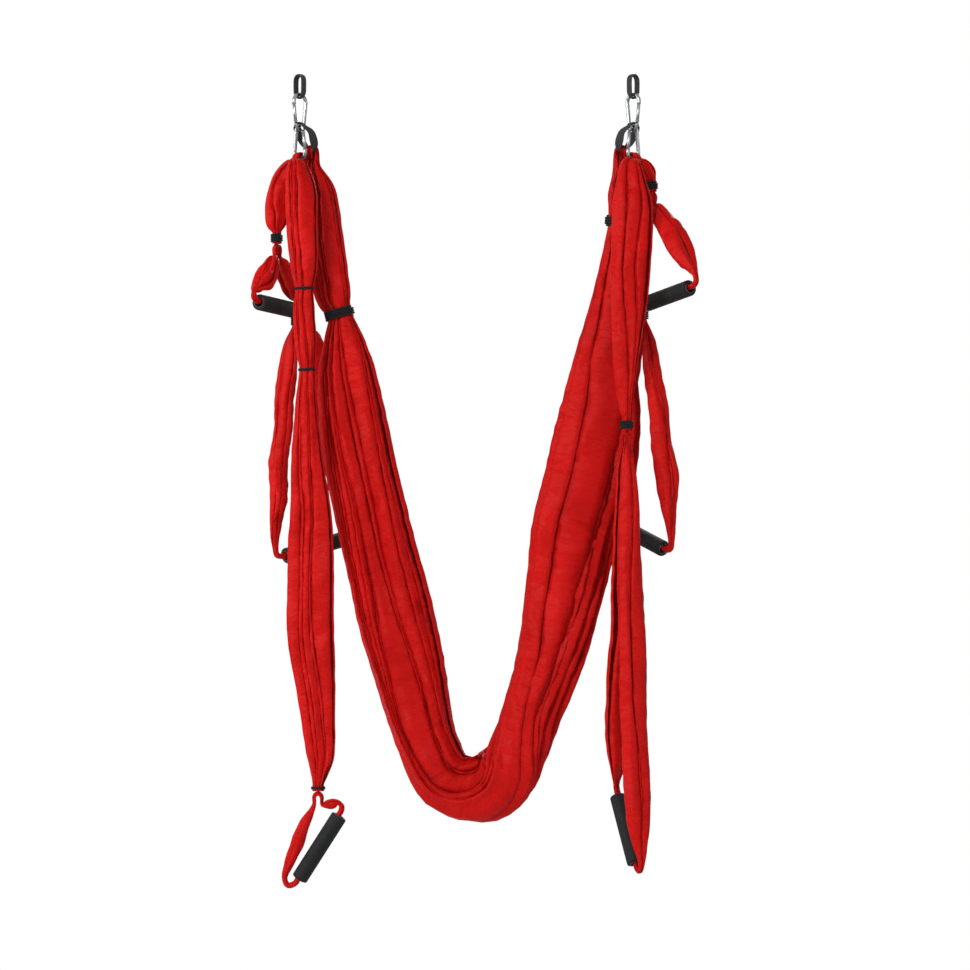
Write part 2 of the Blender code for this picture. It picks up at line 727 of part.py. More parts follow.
def gathered_end(start, shift, front, drop, gather, width, depth):
    """Two alike sections at a strap's lower end, where a cord winding draws it in."""
    shares = width / STRAP_WIDTH, depth / STRAP_DEPTH
    table = ((1, 1, 1 - gather / drop, *shares), (1, 1, 1, *shares))
    return strap_rows(start, shift, front, drop, table)


def hung_strap(name, sign, radius, shift, front, drop, table, end_size, gather):
    """A strap folded over the lower carabiner's bar and let down to its first cord band."""
    inward, square = side_axes(sign)
    bar = Vector((sign * HALF_SPAN, 0, LOWER_BOTTOM_Z))
    facing = square if square.x > 0 else -square
    rows = hook_rows(bar, -inward, radius, STRAP_TAIL, STRAP_NECK_WIDTH, STRAP_NECK_DEPTH, facing)
    rows += strap_rows(bar, shift, front, drop, table)
    rows += gathered_end(bar, shift, front, drop, gather, *end_size)
    mesh = loft(name, rows, RING_STRAP, STRAP_FOLDS, STRAP_FOLD_SHARE)
    link(name, mesh, LOOKS["cloth"])
    end = rows[-1]
    return Vector(end[:3]), end[3], end[4]


def winding(name, middle, axis, side, width, depth, turns, diameter, parent=None):
    """One unbroken cord wound round a gathered bundle: a helix that follows the bundle's oval."""
    axis = axis.normalized()
    side = (side - axis * side.dot(axis)).normalized()
    across = axis.cross(side)
    pitch = diameter + CORD_TURN_GAP
    reach_u = width / 2 + diameter / 2
    reach_v = depth / 2 + diameter / 2
    count = int(round(turns * CURL_POINTS)) + 1
    polygon = 1 / math.cos(math.pi / CURL_POINTS)
    points = []
    for i in range(count):
        angle = 2 * math.pi * i / CURL_POINTS
        offset = side * (reach_u * polygon * math.cos(angle))
        offset += across * (reach_v * polygon * math.sin(angle))
        points.append(middle + offset + axis * (pitch * (i / CURL_POINTS - turns / 2)))
    if turns > 1:
        gaps = [(points[i + CURL_POINTS] - points[i]).length - diameter for i in range(count - CURL_POINTS)]
        print(f"{name}: least gap between turns {min(gaps) * 1000:.2f} mm")
    mesh = tube_mesh(name, points, diameter / 2, 1)
    if parent is None:
        link(name, mesh, LOOKS["cord"])
    else:
        place = parent.matrix_world.translation.copy()
        mesh.transform(Matrix.Translation(-place))
        link(name, mesh, LOOKS["cord"], parent, Matrix.Translation(place))


def foam_grip(name, middle, along, carrier):
    """Foam sleeve on a plastic tube, both turning on the cloth that runs through them."""
    axis = pivot(name + "_axis", middle, carrier)
    turn = Matrix.Translation(middle) @ along.to_track_quat("Z", "Y").to_matrix().to_4x4()
    half = GRIP_LENGTH / 2
    outer = FOAM_DIAMETER / 2
    inner = TUBE_DIAMETER / 2 + TOUCH_GAP
    cut_back = FOAM_ROUNDING * (1 - math.sqrt(0.5))
    profile = (
        (outer - FOAM_ROUNDING, half),
        (outer - cut_back, half - cut_back),
        (outer, half - FOAM_ROUNDING),
        (outer, FOAM_ROUNDING - half),
        (outer - cut_back, cut_back - half),
        (outer - FOAM_ROUNDING, -half),
        (inner, -half),
        (inner, half),
    )
    link(name + "_foam", turned_mesh(name + "_foam", profile, GRIP_STEPS), LOOKS["foam"], axis, turn)
    bore = TUBE_DIAMETER / 2 - TUBE_WALL
    end = half + TUBE_OVERHANG
    profile = ((TUBE_DIAMETER / 2, end), (TUBE_DIAMETER / 2, -end), (bore, -end), (bore, end))
    link(name + "_tube", turned_mesh(name + "_tube", profile, GRIP_STEPS), LOOKS["tube"], axis, turn)
    joint_note(name, middle, along)


def hand_loop(name, grip_name, top, sign, yaw, tilt, drop, shift, legs, fullness, carrier=None):
    """A loop of cloth in one upright plane: over its top, down both legs and through the grip's tube.

    legs holds a leg's size within the plane, its size across the plane and how far it bows out. The tube
    rests on the cloth that runs through it. The last value returned is the loop's inner lower corner.
    """
    leg_in, leg_out, belly = legs
    yaw = math.radians(yaw)
    tilt = math.radians(tilt)
    level = Vector((-sign * math.cos(yaw), math.sin(yaw), 0))
    normal = level.cross(UP)
    grip = level * math.cos(tilt) - UP * math.sin(tilt)
    middle = top + level * shift - UP * drop
    rise = (top - middle) - grip * (top - middle).dot(grip)
    rise.normalize()
    half = GRIP_LENGTH / 2 + TUBE_OVERHANG
    arch = LOOP_ARCH_RADIUS
    foam = FOAM_DIAMETER / 2
    need = LOOP_BUNDLE / 2 + LOOP_CLEARANCE

    def leg(way):
        """Half of the loop's rows, from beside the top to the tube's mouth, on one side."""
        mouth = middle + grip * (half * way)
        outward = grip * way
        neck = top + level * (arch * way) - UP * (arch * NECK_LENGTH_SHARE)
        to_neck = (neck - mouth - outward * LOOP_LEAD).normalized()
        turn = math.atan2(to_neck.dot(rise), to_neck.dot(outward))
        spare = need - LOOP_LEAD * math.sin(turn) - foam * math.cos(turn)
        bend = max(LOOP_BEND, LOOP_TURN_RUN / turn, spare / (1 - math.cos(turn)))

        def on_turn(share):
            angle = turn * share
            out = LOOP_LEAD + bend * math.sin(angle)
            return mouth + outward * out + rise * (bend * (1 - math.cos(angle)))

        corner = on_turn(1)
        run = corner - neck
        bow = (run - run.dot(UP) * UP).normalized() * belly if run.length else Vector()
        rows = []
        for degrees in (50, 90):
            angle = math.radians(degrees)
            place = top + level * (way * arch * math.sin(angle)) - UP * (arch * (1 - math.cos(angle)))
            rows.append((place, LOOP_ARCH_THICKNESS, LOOP_ARCH_DEPTH))
        rows.append((neck, LOOP_ARCH_THICKNESS, LOOP_ARCH_DEPTH))
        for share in LEG_STEP_SHARES:
            rows.append((neck + run * share + bow, leg_in * fullness[way > 0], leg_out * fullness[way > 0]))
        for share in TURN_STEP_SHARES:
            rows.append((on_turn(share), LOOP_BUNDLE, LOOP_BUNDLE))
        rows.append((mouth, LOOP_BUNDLE, LOOP_BUNDLE))
        return rows

    loop = [(top, LOOP_ARCH_THICKNESS, LOOP_ARCH_DEPTH)] + leg(1)
    loop += reversed(leg(-1))
    rows = [(*place, wide, deep) for place, wide, deep in loop]
    smooth = spline(rows, LOOP_STEPS, True)
    count = len(smooth)
    framed = []
    for i in range(count):
        heading = Vector(smooth[(i + 1) % count][:3] - smooth[i - 1][:3]).normalized()
        framed.append(row(smooth[i][:3], smooth[i][3], smooth[i][4], heading.cross(normal)))
    axis = pivot(name + "_axis", top, carrier)
    mesh = loft(name, framed, RING_LOOP, cyclic=True)
    mesh.transform(Matrix.Translation(-top))
    link(name, mesh, LOOKS["cloth"], axis, Matrix.Translation(top))
    joint_note(name, top, level)
    bore_flat = (TUBE_DIAMETER / 2 - TUBE_WALL) * math.cos(math.pi / GRIP_STEPS)
    foam_grip(grip_name, middle - rise * (bore_flat - LOOP_BUNDLE / 2 - TOUCH_GAP), grip, axis)
    seat = math.radians(LOOP_SEAT_DEG)
    out = half + LOOP_LEAD + LOOP_BEND * math.sin(seat)
    return axis, level, middle + grip * out + rise * (LOOP_BEND * (1 - math.cos(seat)))


def rounded_top(place, width, depth):
    """Sections of a strap's rounded upper end, half a cylinder about the hinge line through place."""
    rows = []
    for degrees in (20, 45, 70):
        angle = math.radians(degrees)
        up = UP * (depth / 2 * math.cos(angle))
        rows.append(row(place + up, width, depth * math.sin(angle), (1, 0, 0)))
    return rows


def band_round(name, end, width, depth, turns, diameter, parent=None):
    """A cord winding round the lower end of a strap."""
    rise = turns * (diameter + CORD_TURN_GAP) / 2 + diameter
    swell = 1 + STRAP_FOLD_SHARE
    winding(name, end + UP * rise, UP, Vector((1, 0, 0)), width * swell + 2 * BAND_CLEARANCE,
            depth * swell + 2 * BAND_CLEARANCE, turns, diameter, parent)


def build_hardware(side, sign):
    """Hanger loop, two carabiners and the cloth's sling; returns the sling's lowest point."""
    inward, square = side_axes(sign)
    x = sign * HALF_SPAN
    hanger_loop(side, sign)
    carabiner(f"upper_carabiner_{side}", MESHES, UPPER_BOTTOM_Z, -inward, x, False, f"upper_gate_{side}")
    carabiner(f"lower_carabiner_{side}", MESHES, LOWER_TOP_Z, -square, x, True, f"lower_gate_{side}")
    return sling(side, sign)


def build_outer_strap(side, sign, sizes):
    """The outer strap with its short loop and, tied on below, its medium loop."""
    radius = BAR_RADIUS + STRAP_SEAT_GAP + STRAP_NECK_DEPTH / 2
    reach = sign * sizes["outer_reach"]
    end, width, depth = hung_strap(f"outer_strap_{side}", sign, radius, reach, -OUTER_SETBACK,
                                   sizes["outer_drop"], sizes["outer_table"], OUTER_END, STRAP_GATHER)
    band_round(f"outer_band_{side}", end, width, depth, BAND_TURNS, CORD_DIAMETER)
    top = end - UP * (TOUCH_GAP + LOOP_ARCH_THICKNESS / 2)
    carrier, level, corner = hand_loop(
        f"short_loop_{side}", f"short_grip_{side}", top, sign, sizes["short_yaw"], sizes["short_tilt"],
        sizes["short_drop"], sizes["short_shift"], SHORT_LEGS, SHORT_FULLNESS_SHARES)
    top = corner - UP * ((LOOP_BUNDLE + LOOP_ARCH_THICKNESS) / 2 + TOUCH_GAP)
    axis, level, corner = hand_loop(
        f"medium_loop_{side}", f"medium_grip_{side}", top, sign, sizes["medium_yaw"], sizes["medium_tilt"],
        sizes["medium_drop"], sizes["medium_shift"], MEDIUM_LEGS, MEDIUM_FULLNESS_SHARES, carrier)
    neck_width = 2 * LOOP_ARCH_RADIUS + LOOP_ARCH_THICKNESS + 2 * BAND_CLEARANCE
    neck = top - UP * (LOOP_ARCH_RADIUS * NECK_DROP_SHARE)
    winding(f"junction_band_{side}", neck, UP, level, neck_width, JUNCTION_DEPTH, BAND_TURNS,
            CORD_DIAMETER, axis)


def build_long_strap(side, sign, sizes):
    """The front strap down to its band; returns the band's lower edge and the strap's size there."""
    inner = BAR_RADIUS + STRAP_SEAT_GAP + STRAP_NECK_DEPTH
    radius = inner + STRAP_SEAT_GAP + STRAP_NECK_DEPTH / 2
    shift = -sign * sizes["long_shift"]
    return hung_strap(f"long_strap_{side}", sign, radius, shift, FRONT_OFFSET,
                      sizes["long_drop"], sizes["long_table"], sizes["long_end"], sizes["long_gather"])


def build_left_front():
    """Left front strap: tied twice above its hinge, and once more above its long loop."""
    end, width, depth = build_long_strap("left", -1, LEFT)
    band_round("middle_tie_left", end, width, depth, TIE_TURNS, TIE_DIAMETER)
    across, _, down, wide, deep = next(r for r in LONG_SHARES_LEFT if r[2] == TIE_UPPER_LEFT_SHARE)
    height = LOWER_BOTTOM_Z - LONG_DROP_LEFT * down
    place = Vector((LONG_SHIFT_LEFT * across - HALF_SPAN, -FRONT_OFFSET, height))
    swell = 1 + STRAP_FOLD_SHARE
    winding("upper_tie_left", place, UP, Vector((1, 0, 0)), STRAP_WIDTH * wide * swell + 2 * BAND_CLEARANCE,
            STRAP_DEPTH * deep * swell + 2 * BAND_CLEARANCE, TIE_TURNS, TIE_DIAMETER)
    hinge = end - UP * (TOUCH_GAP + depth / 2)
    axis = pivot("long_strap_lower_left_axis", hinge)
    rows = rounded_top(hinge, width, depth)
    rows += strap_rows(hinge, LOWER_SHIFT_LEFT, 0, LOWER_DROP_LEFT, LOWER_SHARES_LEFT)
    rows += gathered_end(hinge, LOWER_SHIFT_LEFT, 0, LOWER_DROP_LEFT, TIE_GATHER, *LOWER_END_LEFT)
    mesh = loft("lower", rows, RING_STRAP, STRAP_FOLDS, STRAP_FOLD_SHARE)
    mesh.transform(Matrix.Translation(-hinge))
    link("long_strap_lower_left", mesh, LOOKS["cloth"], axis, Matrix.Translation(hinge))
    joint_note("long_strap_lower_left", hinge, Vector((-1, 0, 0)))
    end = Vector(rows[-1][:3])
    band_round("lower_tie_left", end, rows[-1][3], rows[-1][4], TIE_TURNS, TIE_DIAMETER, axis)
    top = end - UP * (TOUCH_GAP + LOOP_ARCH_THICKNESS / 2)
    hand_loop("long_loop_left", "long_grip_left", top, -1, LONG_YAW_LEFT_DEG, LONG_TILT_DEG,
              LONG_LOOP_DROP_LEFT, 0, LONG_LEGS_LEFT, LONG_FULLNESS_LEFT_SHARES, axis)


def build_right_front():
    """Right front strap: one band, below which both legs of the long loop run down to the grip."""
    end, width, depth = build_long_strap("right", 1, RIGHT)
    band_round("long_band_right", end, width, depth, BAND_TURNS, CORD_DIAMETER)
    top = end - UP * (TOUCH_GAP + LOOP_ARCH_THICKNESS / 2)
    hand_loop("long_loop_right", "long_grip_right", top, 1, LONG_YAW_RIGHT_DEG, LONG_TILT_DEG,
              LONG_LOOP_DROP_RIGHT, 0, LONG_LEGS_RIGHT, LONG_FULLNESS_RIGHT_SHARES)


def build_cloth_band(side, down_share):
    """Cord winding round the main cloth's neck, square to the cloth's run."""
    index = next(i for i, shares in enumerate(CLOTH_SHARES)
                 if shares[1] == down_share and (shares[0] < 0) == (side == "left"))
    heading = cloth_place(CLOTH_SHARES[index + 1]) - cloth_place(CLOTH_SHARES[index - 1])
    swell = 1 + CLOTH_FOLD_SHARE
    width = CLOTH_WIDTH * CLOTH_SHARES[index][2] * swell + 2 * BAND_CLEARANCE
    depth = CLOTH_DEPTH * CLOTH_SHARES[index][3] * swell + 2 * BAND_CLEARANCE
    side_vector = Vector((-heading.z, 0, heading.x))
    winding(f"cloth_band_{side}", cloth_place(CLOTH_SHARES[index]), heading, side_vector, width, depth,
            CLOTH_BAND_TURNS, CORD_DIAMETER)


LEFT = {
    "outer_reach": OUTER_REACH_LEFT, "outer_drop": OUTER_DROP_LEFT, "outer_table": OUTER_SHARES_LEFT,
    "long_shift": LONG_SHIFT_LEFT, "long_drop": LONG_DROP_LEFT, "long_table": LONG_SHARES_LEFT,
    "long_end": LONG_END_LEFT, "long_gather": TIE_GATHER,
    "short_yaw": SHORT_YAW_LEFT_DEG, "short_tilt": SHORT_TILT_LEFT_DEG,
    "short_drop": SHORT_DROP_LEFT, "short_shift": SHORT_SHIFT_LEFT,
    "medium_yaw": MEDIUM_YAW_LEFT_DEG, "medium_tilt": MEDIUM_TILT_LEFT_DEG,
    "medium_drop": MEDIUM_DROP_LEFT, "medium_shift": MEDIUM_SHIFT_LEFT,
}
RIGHT = {
    "outer_reach": OUTER_REACH_RIGHT, "outer_drop": OUTER_DROP_RIGHT, "outer_table": OUTER_SHARES_RIGHT,
    "long_shift": LONG_SHIFT_RIGHT, "long_drop": LONG_DROP_RIGHT, "long_table": LONG_SHARES_RIGHT,
    "long_end": LONG_END_RIGHT, "long_gather": STRAP_GATHER,
    "short_yaw": SHORT_YAW_RIGHT_DEG, "short_tilt": SHORT_TILT_RIGHT_DEG,
    "short_drop": SHORT_DROP_RIGHT, "short_shift": SHORT_SHIFT_RIGHT,
    "medium_yaw": MEDIUM_YAW_RIGHT_DEG, "medium_tilt": MEDIUM_TILT_RIGHT_DEG,
    "medium_drop": MEDIUM_DROP_RIGHT, "medium_shift": MEDIUM_SHIFT_RIGHT,
}

clear_scene()
PARTS = new_collection("aerial_hammock")
CUTTERS = new_collection("cutters")
JOINTS = []
LOOKS = {
    "cloth": material("red_cloth", RED, 0.55),
    "webbing": material("black_webbing", BLACK, 0.80),
    "cord": material("black_cord", CORD, 0.70),
    "foam": material("black_foam", BLACK, 0.90),
    "tube": material("plastic_tube", CORD, 0.45),
    "steel": material("zinc_steel", STEEL, 0.30, 1.0),
}
MESHES = carabiner_meshes()
bights = [build_hardware(side, sign) for side, sign in (("left", -1), ("right", 1))]
main_cloth(*bights)
build_cloth_band("left", CLOTH_BAND_LEFT_SHARE)
build_cloth_band("right", CLOTH_BAND_RIGHT_SHARE)
build_outer_strap("left", -1, LEFT)
build_outer_strap("right", 1, RIGHT)
build_left_front()
build_right_front()
for joint_name, joint_place, joint_axis in JOINTS:
    print(joint_name, [round(value, 5) for value in joint_place], [round(value, 5) for value in joint_axis])
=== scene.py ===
"""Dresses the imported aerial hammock: gathered red cloth, foam grips, cord windings, webbing, snap carabiners.

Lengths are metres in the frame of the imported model: +Z up, the front at -Y, the origin midway between the two
hang points at the top of the webbing hanger loops.
"""
import math

import bmesh
import bpy
import numpy as np
from mathutils import Matrix, Vector


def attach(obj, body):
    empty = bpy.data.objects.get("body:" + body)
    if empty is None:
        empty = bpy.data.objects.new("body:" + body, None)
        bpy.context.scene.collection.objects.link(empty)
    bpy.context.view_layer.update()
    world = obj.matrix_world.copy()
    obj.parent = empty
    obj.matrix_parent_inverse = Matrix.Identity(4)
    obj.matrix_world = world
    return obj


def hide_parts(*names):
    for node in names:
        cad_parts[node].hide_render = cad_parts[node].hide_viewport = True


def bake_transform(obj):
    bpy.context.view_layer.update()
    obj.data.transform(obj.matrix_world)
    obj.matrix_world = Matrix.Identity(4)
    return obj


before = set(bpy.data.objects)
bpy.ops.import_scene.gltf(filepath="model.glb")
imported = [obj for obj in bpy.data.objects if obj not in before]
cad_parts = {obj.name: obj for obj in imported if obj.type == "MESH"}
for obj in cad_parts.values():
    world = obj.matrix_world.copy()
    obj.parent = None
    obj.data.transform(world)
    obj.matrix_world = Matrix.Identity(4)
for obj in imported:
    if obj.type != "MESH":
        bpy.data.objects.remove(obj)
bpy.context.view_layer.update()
SIDES = (("left", -1), ("right", 1))
UP = Vector((0, 0, 1))

# The view: a level camera in front of the hammock, so far off that it sees it almost without perspective
VIEW_WIDTH = 1.746
VIEW_DISTANCE = 5.0
VIEW_CENTRE = (0.0333, -0.7362)
SENSOR_WIDTH = 36.0

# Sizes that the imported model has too
TOUCH_GAP = 0.0003
HALF_SPAN = 0.300
HANGER_EYE = 0.037
HANGER_EYE_WIDTH = 0.017
HANGER_BIGHT = 0.005
HANGER_THICKNESS = 0.0035
HANGER_WIDTH = 0.011
HANGER_PLAY = 0.0006
CARABINER_LENGTH = 0.070
CARABINER_BROAD = 0.035
CARABINER_NARROW = 0.026
CARABINER_STOCK = 0.007
CARABINER_YAW_DEG = 45.0
HINGE_SHOULDER = 0.001
HINGE_RISE = 0.005
TONGUE_THICKNESS = 0.0024
TONGUE_END = 0.0026
TONGUE_TIP_SHARE = 0.8
GATE_DIAMETER = 0.006
GATE_HEEL = 0.0032
NOSE_LENGTH = 0.004
NOSE_GAP = 0.0004
PIN_DIAMETER = 0.002
PIN_HEAD_DIAMETER = 0.0032
PIN_HEAD_LENGTH = 0.0005
BAR_CHAMFER = 0.0005
SLING_THICKNESS = 0.002
SLING_NECK_WIDTH = 0.009
SLING_WIDTH = 0.013
SLING_DROP = 0.050
SLING_REACH = 0.029
SLING_BIGHT_WIDTH = 0.007
SLING_SPREAD = 0.0165
CLOTH_DROP = 1.153
CLOTH_WIDTH = 0.170
CLOTH_DEPTH = 0.078
CLOTH_SETBACK = 0.020
CLOTH_NECK_DEPTH = 0.009
CLOTH_TAIL = 0.014
STRAP_WIDTH = 0.086
STRAP_DEPTH = 0.026
STRAP_NECK_DEPTH = 0.005
STRAP_TAIL = 0.008
STRAP_GATHER = 0.020
TIE_GATHER = 0.012
STRAP_SEAT_GAP = 0.0005
FRONT_OFFSET = 0.052
OUTER_SETBACK = 0.006
LOWER_DROP = 0.738
LOWER_SHIFT = 0.0200
LOWER_END = (0.0215, 0.0125)
GRIP_LENGTH = 0.133
FOAM_DIAMETER = 0.029
FOAM_ROUNDING = 0.003
TUBE_DIAMETER = 0.020
TUBE_WALL = 0.00175
TUBE_OVERHANG = 0.001
LOOP_BUNDLE = 0.0110
LOOP_ARCH_RADIUS = 0.007
LOOP_ARCH_THICKNESS = 0.008
LOOP_ARCH_DEPTH = 0.009
LOOP_LEAD = 0.0085
LOOP_BEND = 0.010
LOOP_TURN_RUN = 0.012
LOOP_CLEARANCE = 0.001
LOOP_SEAT_DEG = 30.0
CORD_DIAMETER = 0.0036
CORD_TURN_GAP = 0.0008
TIE_DIAMETER = 0.0024
BAND_CLEARANCE = 0.0001
JUNCTION_DEPTH = 0.013
NECK_LENGTH_SHARE = 2.8
NECK_DROP_SHARE = 1.75
GRIP_FACETS = 14

# Sizes that only the shown pieces have: fuller necks and short loops' arches, a slimmer drawn-in hanger, each
# cord's turns and the main cloth's thicker cord
CLOTH_NECK_WIDTH = 0.020
STRAP_NECK_WIDTH = 0.018
SHORT_LOOP_ARCH = 1.45
HANGER_BIGHT_SHOWN = 0.0043
CORD_PITCH_SHARE = 1.03
TIE_TURNS = 2
BAND_TURNS = 3
JUNCTION_TURNS = 4
CLOTH_BAND_TURNS = 4
CLOTH_BAND_CORD = 0.0042
BAND_SLACK = 0.0012

# Corners round each shown piece, and points along a carabiner's bow, a foam edge and one turn of cord
BAR_RING = 24
BOW_POINTS = 33
FOAM_RING = 48
FOAM_EDGE_POINTS = 7
TUBE_RING = 40
CORD_RING = 12
CORD_POINTS = 48
# How soon a cord's end comes up from under its first turn, and how deep it lies there, in radii
CORD_DIVE_RATE = 30.0
CORD_DIVE_RADII = 1.6

BAR_RADIUS = CARABINER_STOCK / 2
BAR_TO_BAR = CARABINER_LENGTH - CARABINER_STOCK
UPPER_TOP_Z = -HANGER_EYE + HANGER_PLAY + BAR_RADIUS
UPPER_BOTTOM_Z = UPPER_TOP_Z - BAR_TO_BAR
LOWER_TOP_Z = UPPER_BOTTOM_Z + CARABINER_STOCK + TOUCH_GAP
LOWER_BOTTOM_Z = LOWER_TOP_Z - BAR_TO_BAR
SLING_BOTTOM_Z = LOWER_TOP_Z + BAR_RADIUS + TOUCH_GAP + SLING_THICKNESS / 2 - SLING_DROP

# Sections along the main cloth, from the left neck to the right neck: across as a share of half the span,
# down as a share of the drop, width and depth as shares of the largest. The heads are fuller than packed.
CLOTH_SHARES = (
    (-0.925, 0.024, 0.18, 0.26), (-0.898, 0.062, 0.40, 0.50), (-0.866, 0.140, 0.44, 0.52),
    (-0.826, 0.196, 0.40, 0.44), (-0.800, 0.232, 0.37, 0.38), (-0.766, 0.254, 0.26, 0.28),
    (-0.745, 0.288, 0.40, 0.42),
    (-0.722, 0.340, 0.60, 0.60), (-0.672, 0.439, 0.73, 0.74), (-0.596, 0.548, 0.79, 0.84),
    (-0.500, 0.650, 0.81, 0.90), (-0.387, 0.769, 0.79, 0.94), (-0.303, 0.862, 0.72, 0.97),
    (-0.225, 0.931, 0.66, 1.00), (-0.131, 0.980, 0.67, 1.00), (-0.010, 0.996, 0.70, 1.00),
    (0.123, 0.997, 0.73, 1.00), (0.240, 0.976, 0.71, 1.00), (0.325, 0.929, 0.67, 0.98),
    (0.387, 0.880, 0.65, 0.95), (0.450, 0.832, 0.68, 0.93), (0.549, 0.711, 0.85, 0.92),
    (0.645, 0.590, 0.94, 0.88), (0.717, 0.517, 0.98, 0.84), (0.789, 0.415, 0.94, 0.76),
    (0.822, 0.321, 0.69, 0.64), (0.858, 0.233, 0.45, 0.50), (0.888, 0.168, 0.31, 0.38),
    (0.909, 0.109, 0.22, 0.28), (0.914, 0.067, 0.23, 0.32), (0.921, 0.033, 0.15, 0.24),
)
# Where a cord draws the main cloth in: down as in one of its sections, width and depth as shares
CLOTH_BANDS = (("left", 0.254, 0.27, 0.30), ("right", 0.109, 0.22, 0.28))

# Sections down the straps: shares of the sideways shift, front offset, drop, strap width and strap depth
OUTER_SHARES = {
    "left": ((0.28, 1.20, 0.04, 0.30, 0.50), (0.58, 1.10, 0.17, 0.46, 0.85), (0.80, 1.00, 0.34, 0.54, 1.10),
             (0.98, 1.00, 0.58, 0.54, 1.10), (1.02, 1.00, 0.78, 0.40, 0.82)),
    "right": ((0.34, 0.60, 0.08, 0.30, 0.50), (0.60, 1.00, 0.27, 0.38, 0.70), (0.88, 1.00, 0.52, 0.32, 0.62)),
}
LONG_SHARES = {
    "left": ((-0.30, 0.46, 0.020, 0.36, 0.60), (0.00, 0.66, 0.09, 0.54, 0.90), (0.36, 0.84, 0.18, 0.66, 1.08),
             (0.50, 0.95, 0.36, 0.64, 1.05), (0.68, 1.00, 0.54, 0.50, 0.90), (0.72, 1.00, 0.61, 0.37, 0.62),
             (0.68, 1.00, 0.68, 0.43, 0.80), (0.74, 1.00, 0.80, 0.45, 0.85), (0.92, 1.00, 0.92, 0.39, 0.70)),
    "right": ((0.30, 0.46, 0.014, 0.40, 0.55), (0.40, 0.68, 0.075, 0.58, 0.85),
              (0.30, 0.84, 0.17, 0.82, 1.05), (0.35, 0.97, 0.32, 0.87, 1.00), (0.65, 1.00, 0.50, 0.78, 1.00),
              (0.95, 1.00, 0.64, 0.62, 0.95), (1.20, 1.00, 0.78, 0.46, 0.85), (1.20, 1.00, 0.90, 0.30, 0.66)),
}
LOWER_SHARES = (
    (-0.08, 0.00, 0.05, 0.42, 0.72), (-0.05, 0.00, 0.14, 0.56, 0.88), (0.12, 0.00, 0.23, 0.70, 0.96),
    (0.30, 0.00, 0.33, 0.84, 1.00), (0.34, 0.00, 0.45, 0.96, 1.00), (0.28, 0.00, 0.57, 0.99, 1.00),
    (0.60, 0.00, 0.70, 0.88, 0.97), (1.00, 0.00, 0.83, 0.68, 0.90), (1.20, 0.00, 0.92, 0.56, 0.80),
    (1.10, 0.00, 0.960, 0.36, 0.62),
)
TIE_UPPER_SHARE = 0.61

# Sections down a sling's leg: shares of its drop, spread, reach and width
SLING_SHARES = (
    (0.36, 1.00, 0.42, 1.15), (0.60, 0.95, 0.64, 1.35), (0.82, 0.70, 0.88, 1.10), (0.955, 0.42, 0.98, 0.60),
)
WEBBING_STEPS = 8
WEBBING_RING = 28
WEBBING_POWER = 4.0

# The seed of the main cloth's folds
MAIN_SEED = 11
# Each side's reaches, drops and turns, with the cloth's flat size and the seed of its folds
OUTER = {
    "left": {"reach": 0.042, "drop": 0.150, "end": (0.0155, 0.012), "sheet": (0.16, 0.19), "seed": 20},
    "right": {"reach": 0.034, "drop": 0.056, "end": (0.0155, 0.012), "sheet": (0.08, 0.10), "seed": 22},
}
LONG = {
    "left": {"shift": 0.0162, "drop": 0.385, "end": (0.0275, 0.013), "gather": TIE_GATHER,
             "sheet": (0.30, 1.14), "seed": 71},
    "right": {"shift": 0.0140, "drop": 0.488, "end": (0.0175, 0.0125), "gather": STRAP_GATHER,
              "sheet": (0.30, 0.52), "seed": 72},
}
LOOPS = {
    ("short", "left"): {"yaw": 66.0, "tilt": 3.0, "drop": 0.106, "shift": 0.0,
                        "sheet": (0.13, 0.46), "seed": 42},
    ("short", "right"): {"yaw": 58.0, "tilt": 9.0, "drop": 0.184, "shift": -0.050,
                         "sheet": (0.13, 0.58), "seed": 48},
    ("medium", "left"): {"yaw": 42.0, "tilt": -12.0, "drop": 0.425, "shift": 0.036,
                         "sheet": (0.15, 1.04), "seed": 43},
    ("medium", "right"): {"yaw": 56.0, "tilt": -17.0, "drop": 0.412, "shift": 0.0,
                          "sheet": (0.15, 1.04), "seed": 49},
    ("long", "left"): {"yaw": 0.0, "tilt": -57.5, "drop": 0.095, "shift": 0.0,
                       "sheet": (0.10, 0.43), "seed": 41},
    ("long", "right"): {"yaw": 67.0, "tilt": -57.5, "drop": 0.705, "shift": 0.0,
                        "sheet": (0.15, 1.60), "seed": 47},
}
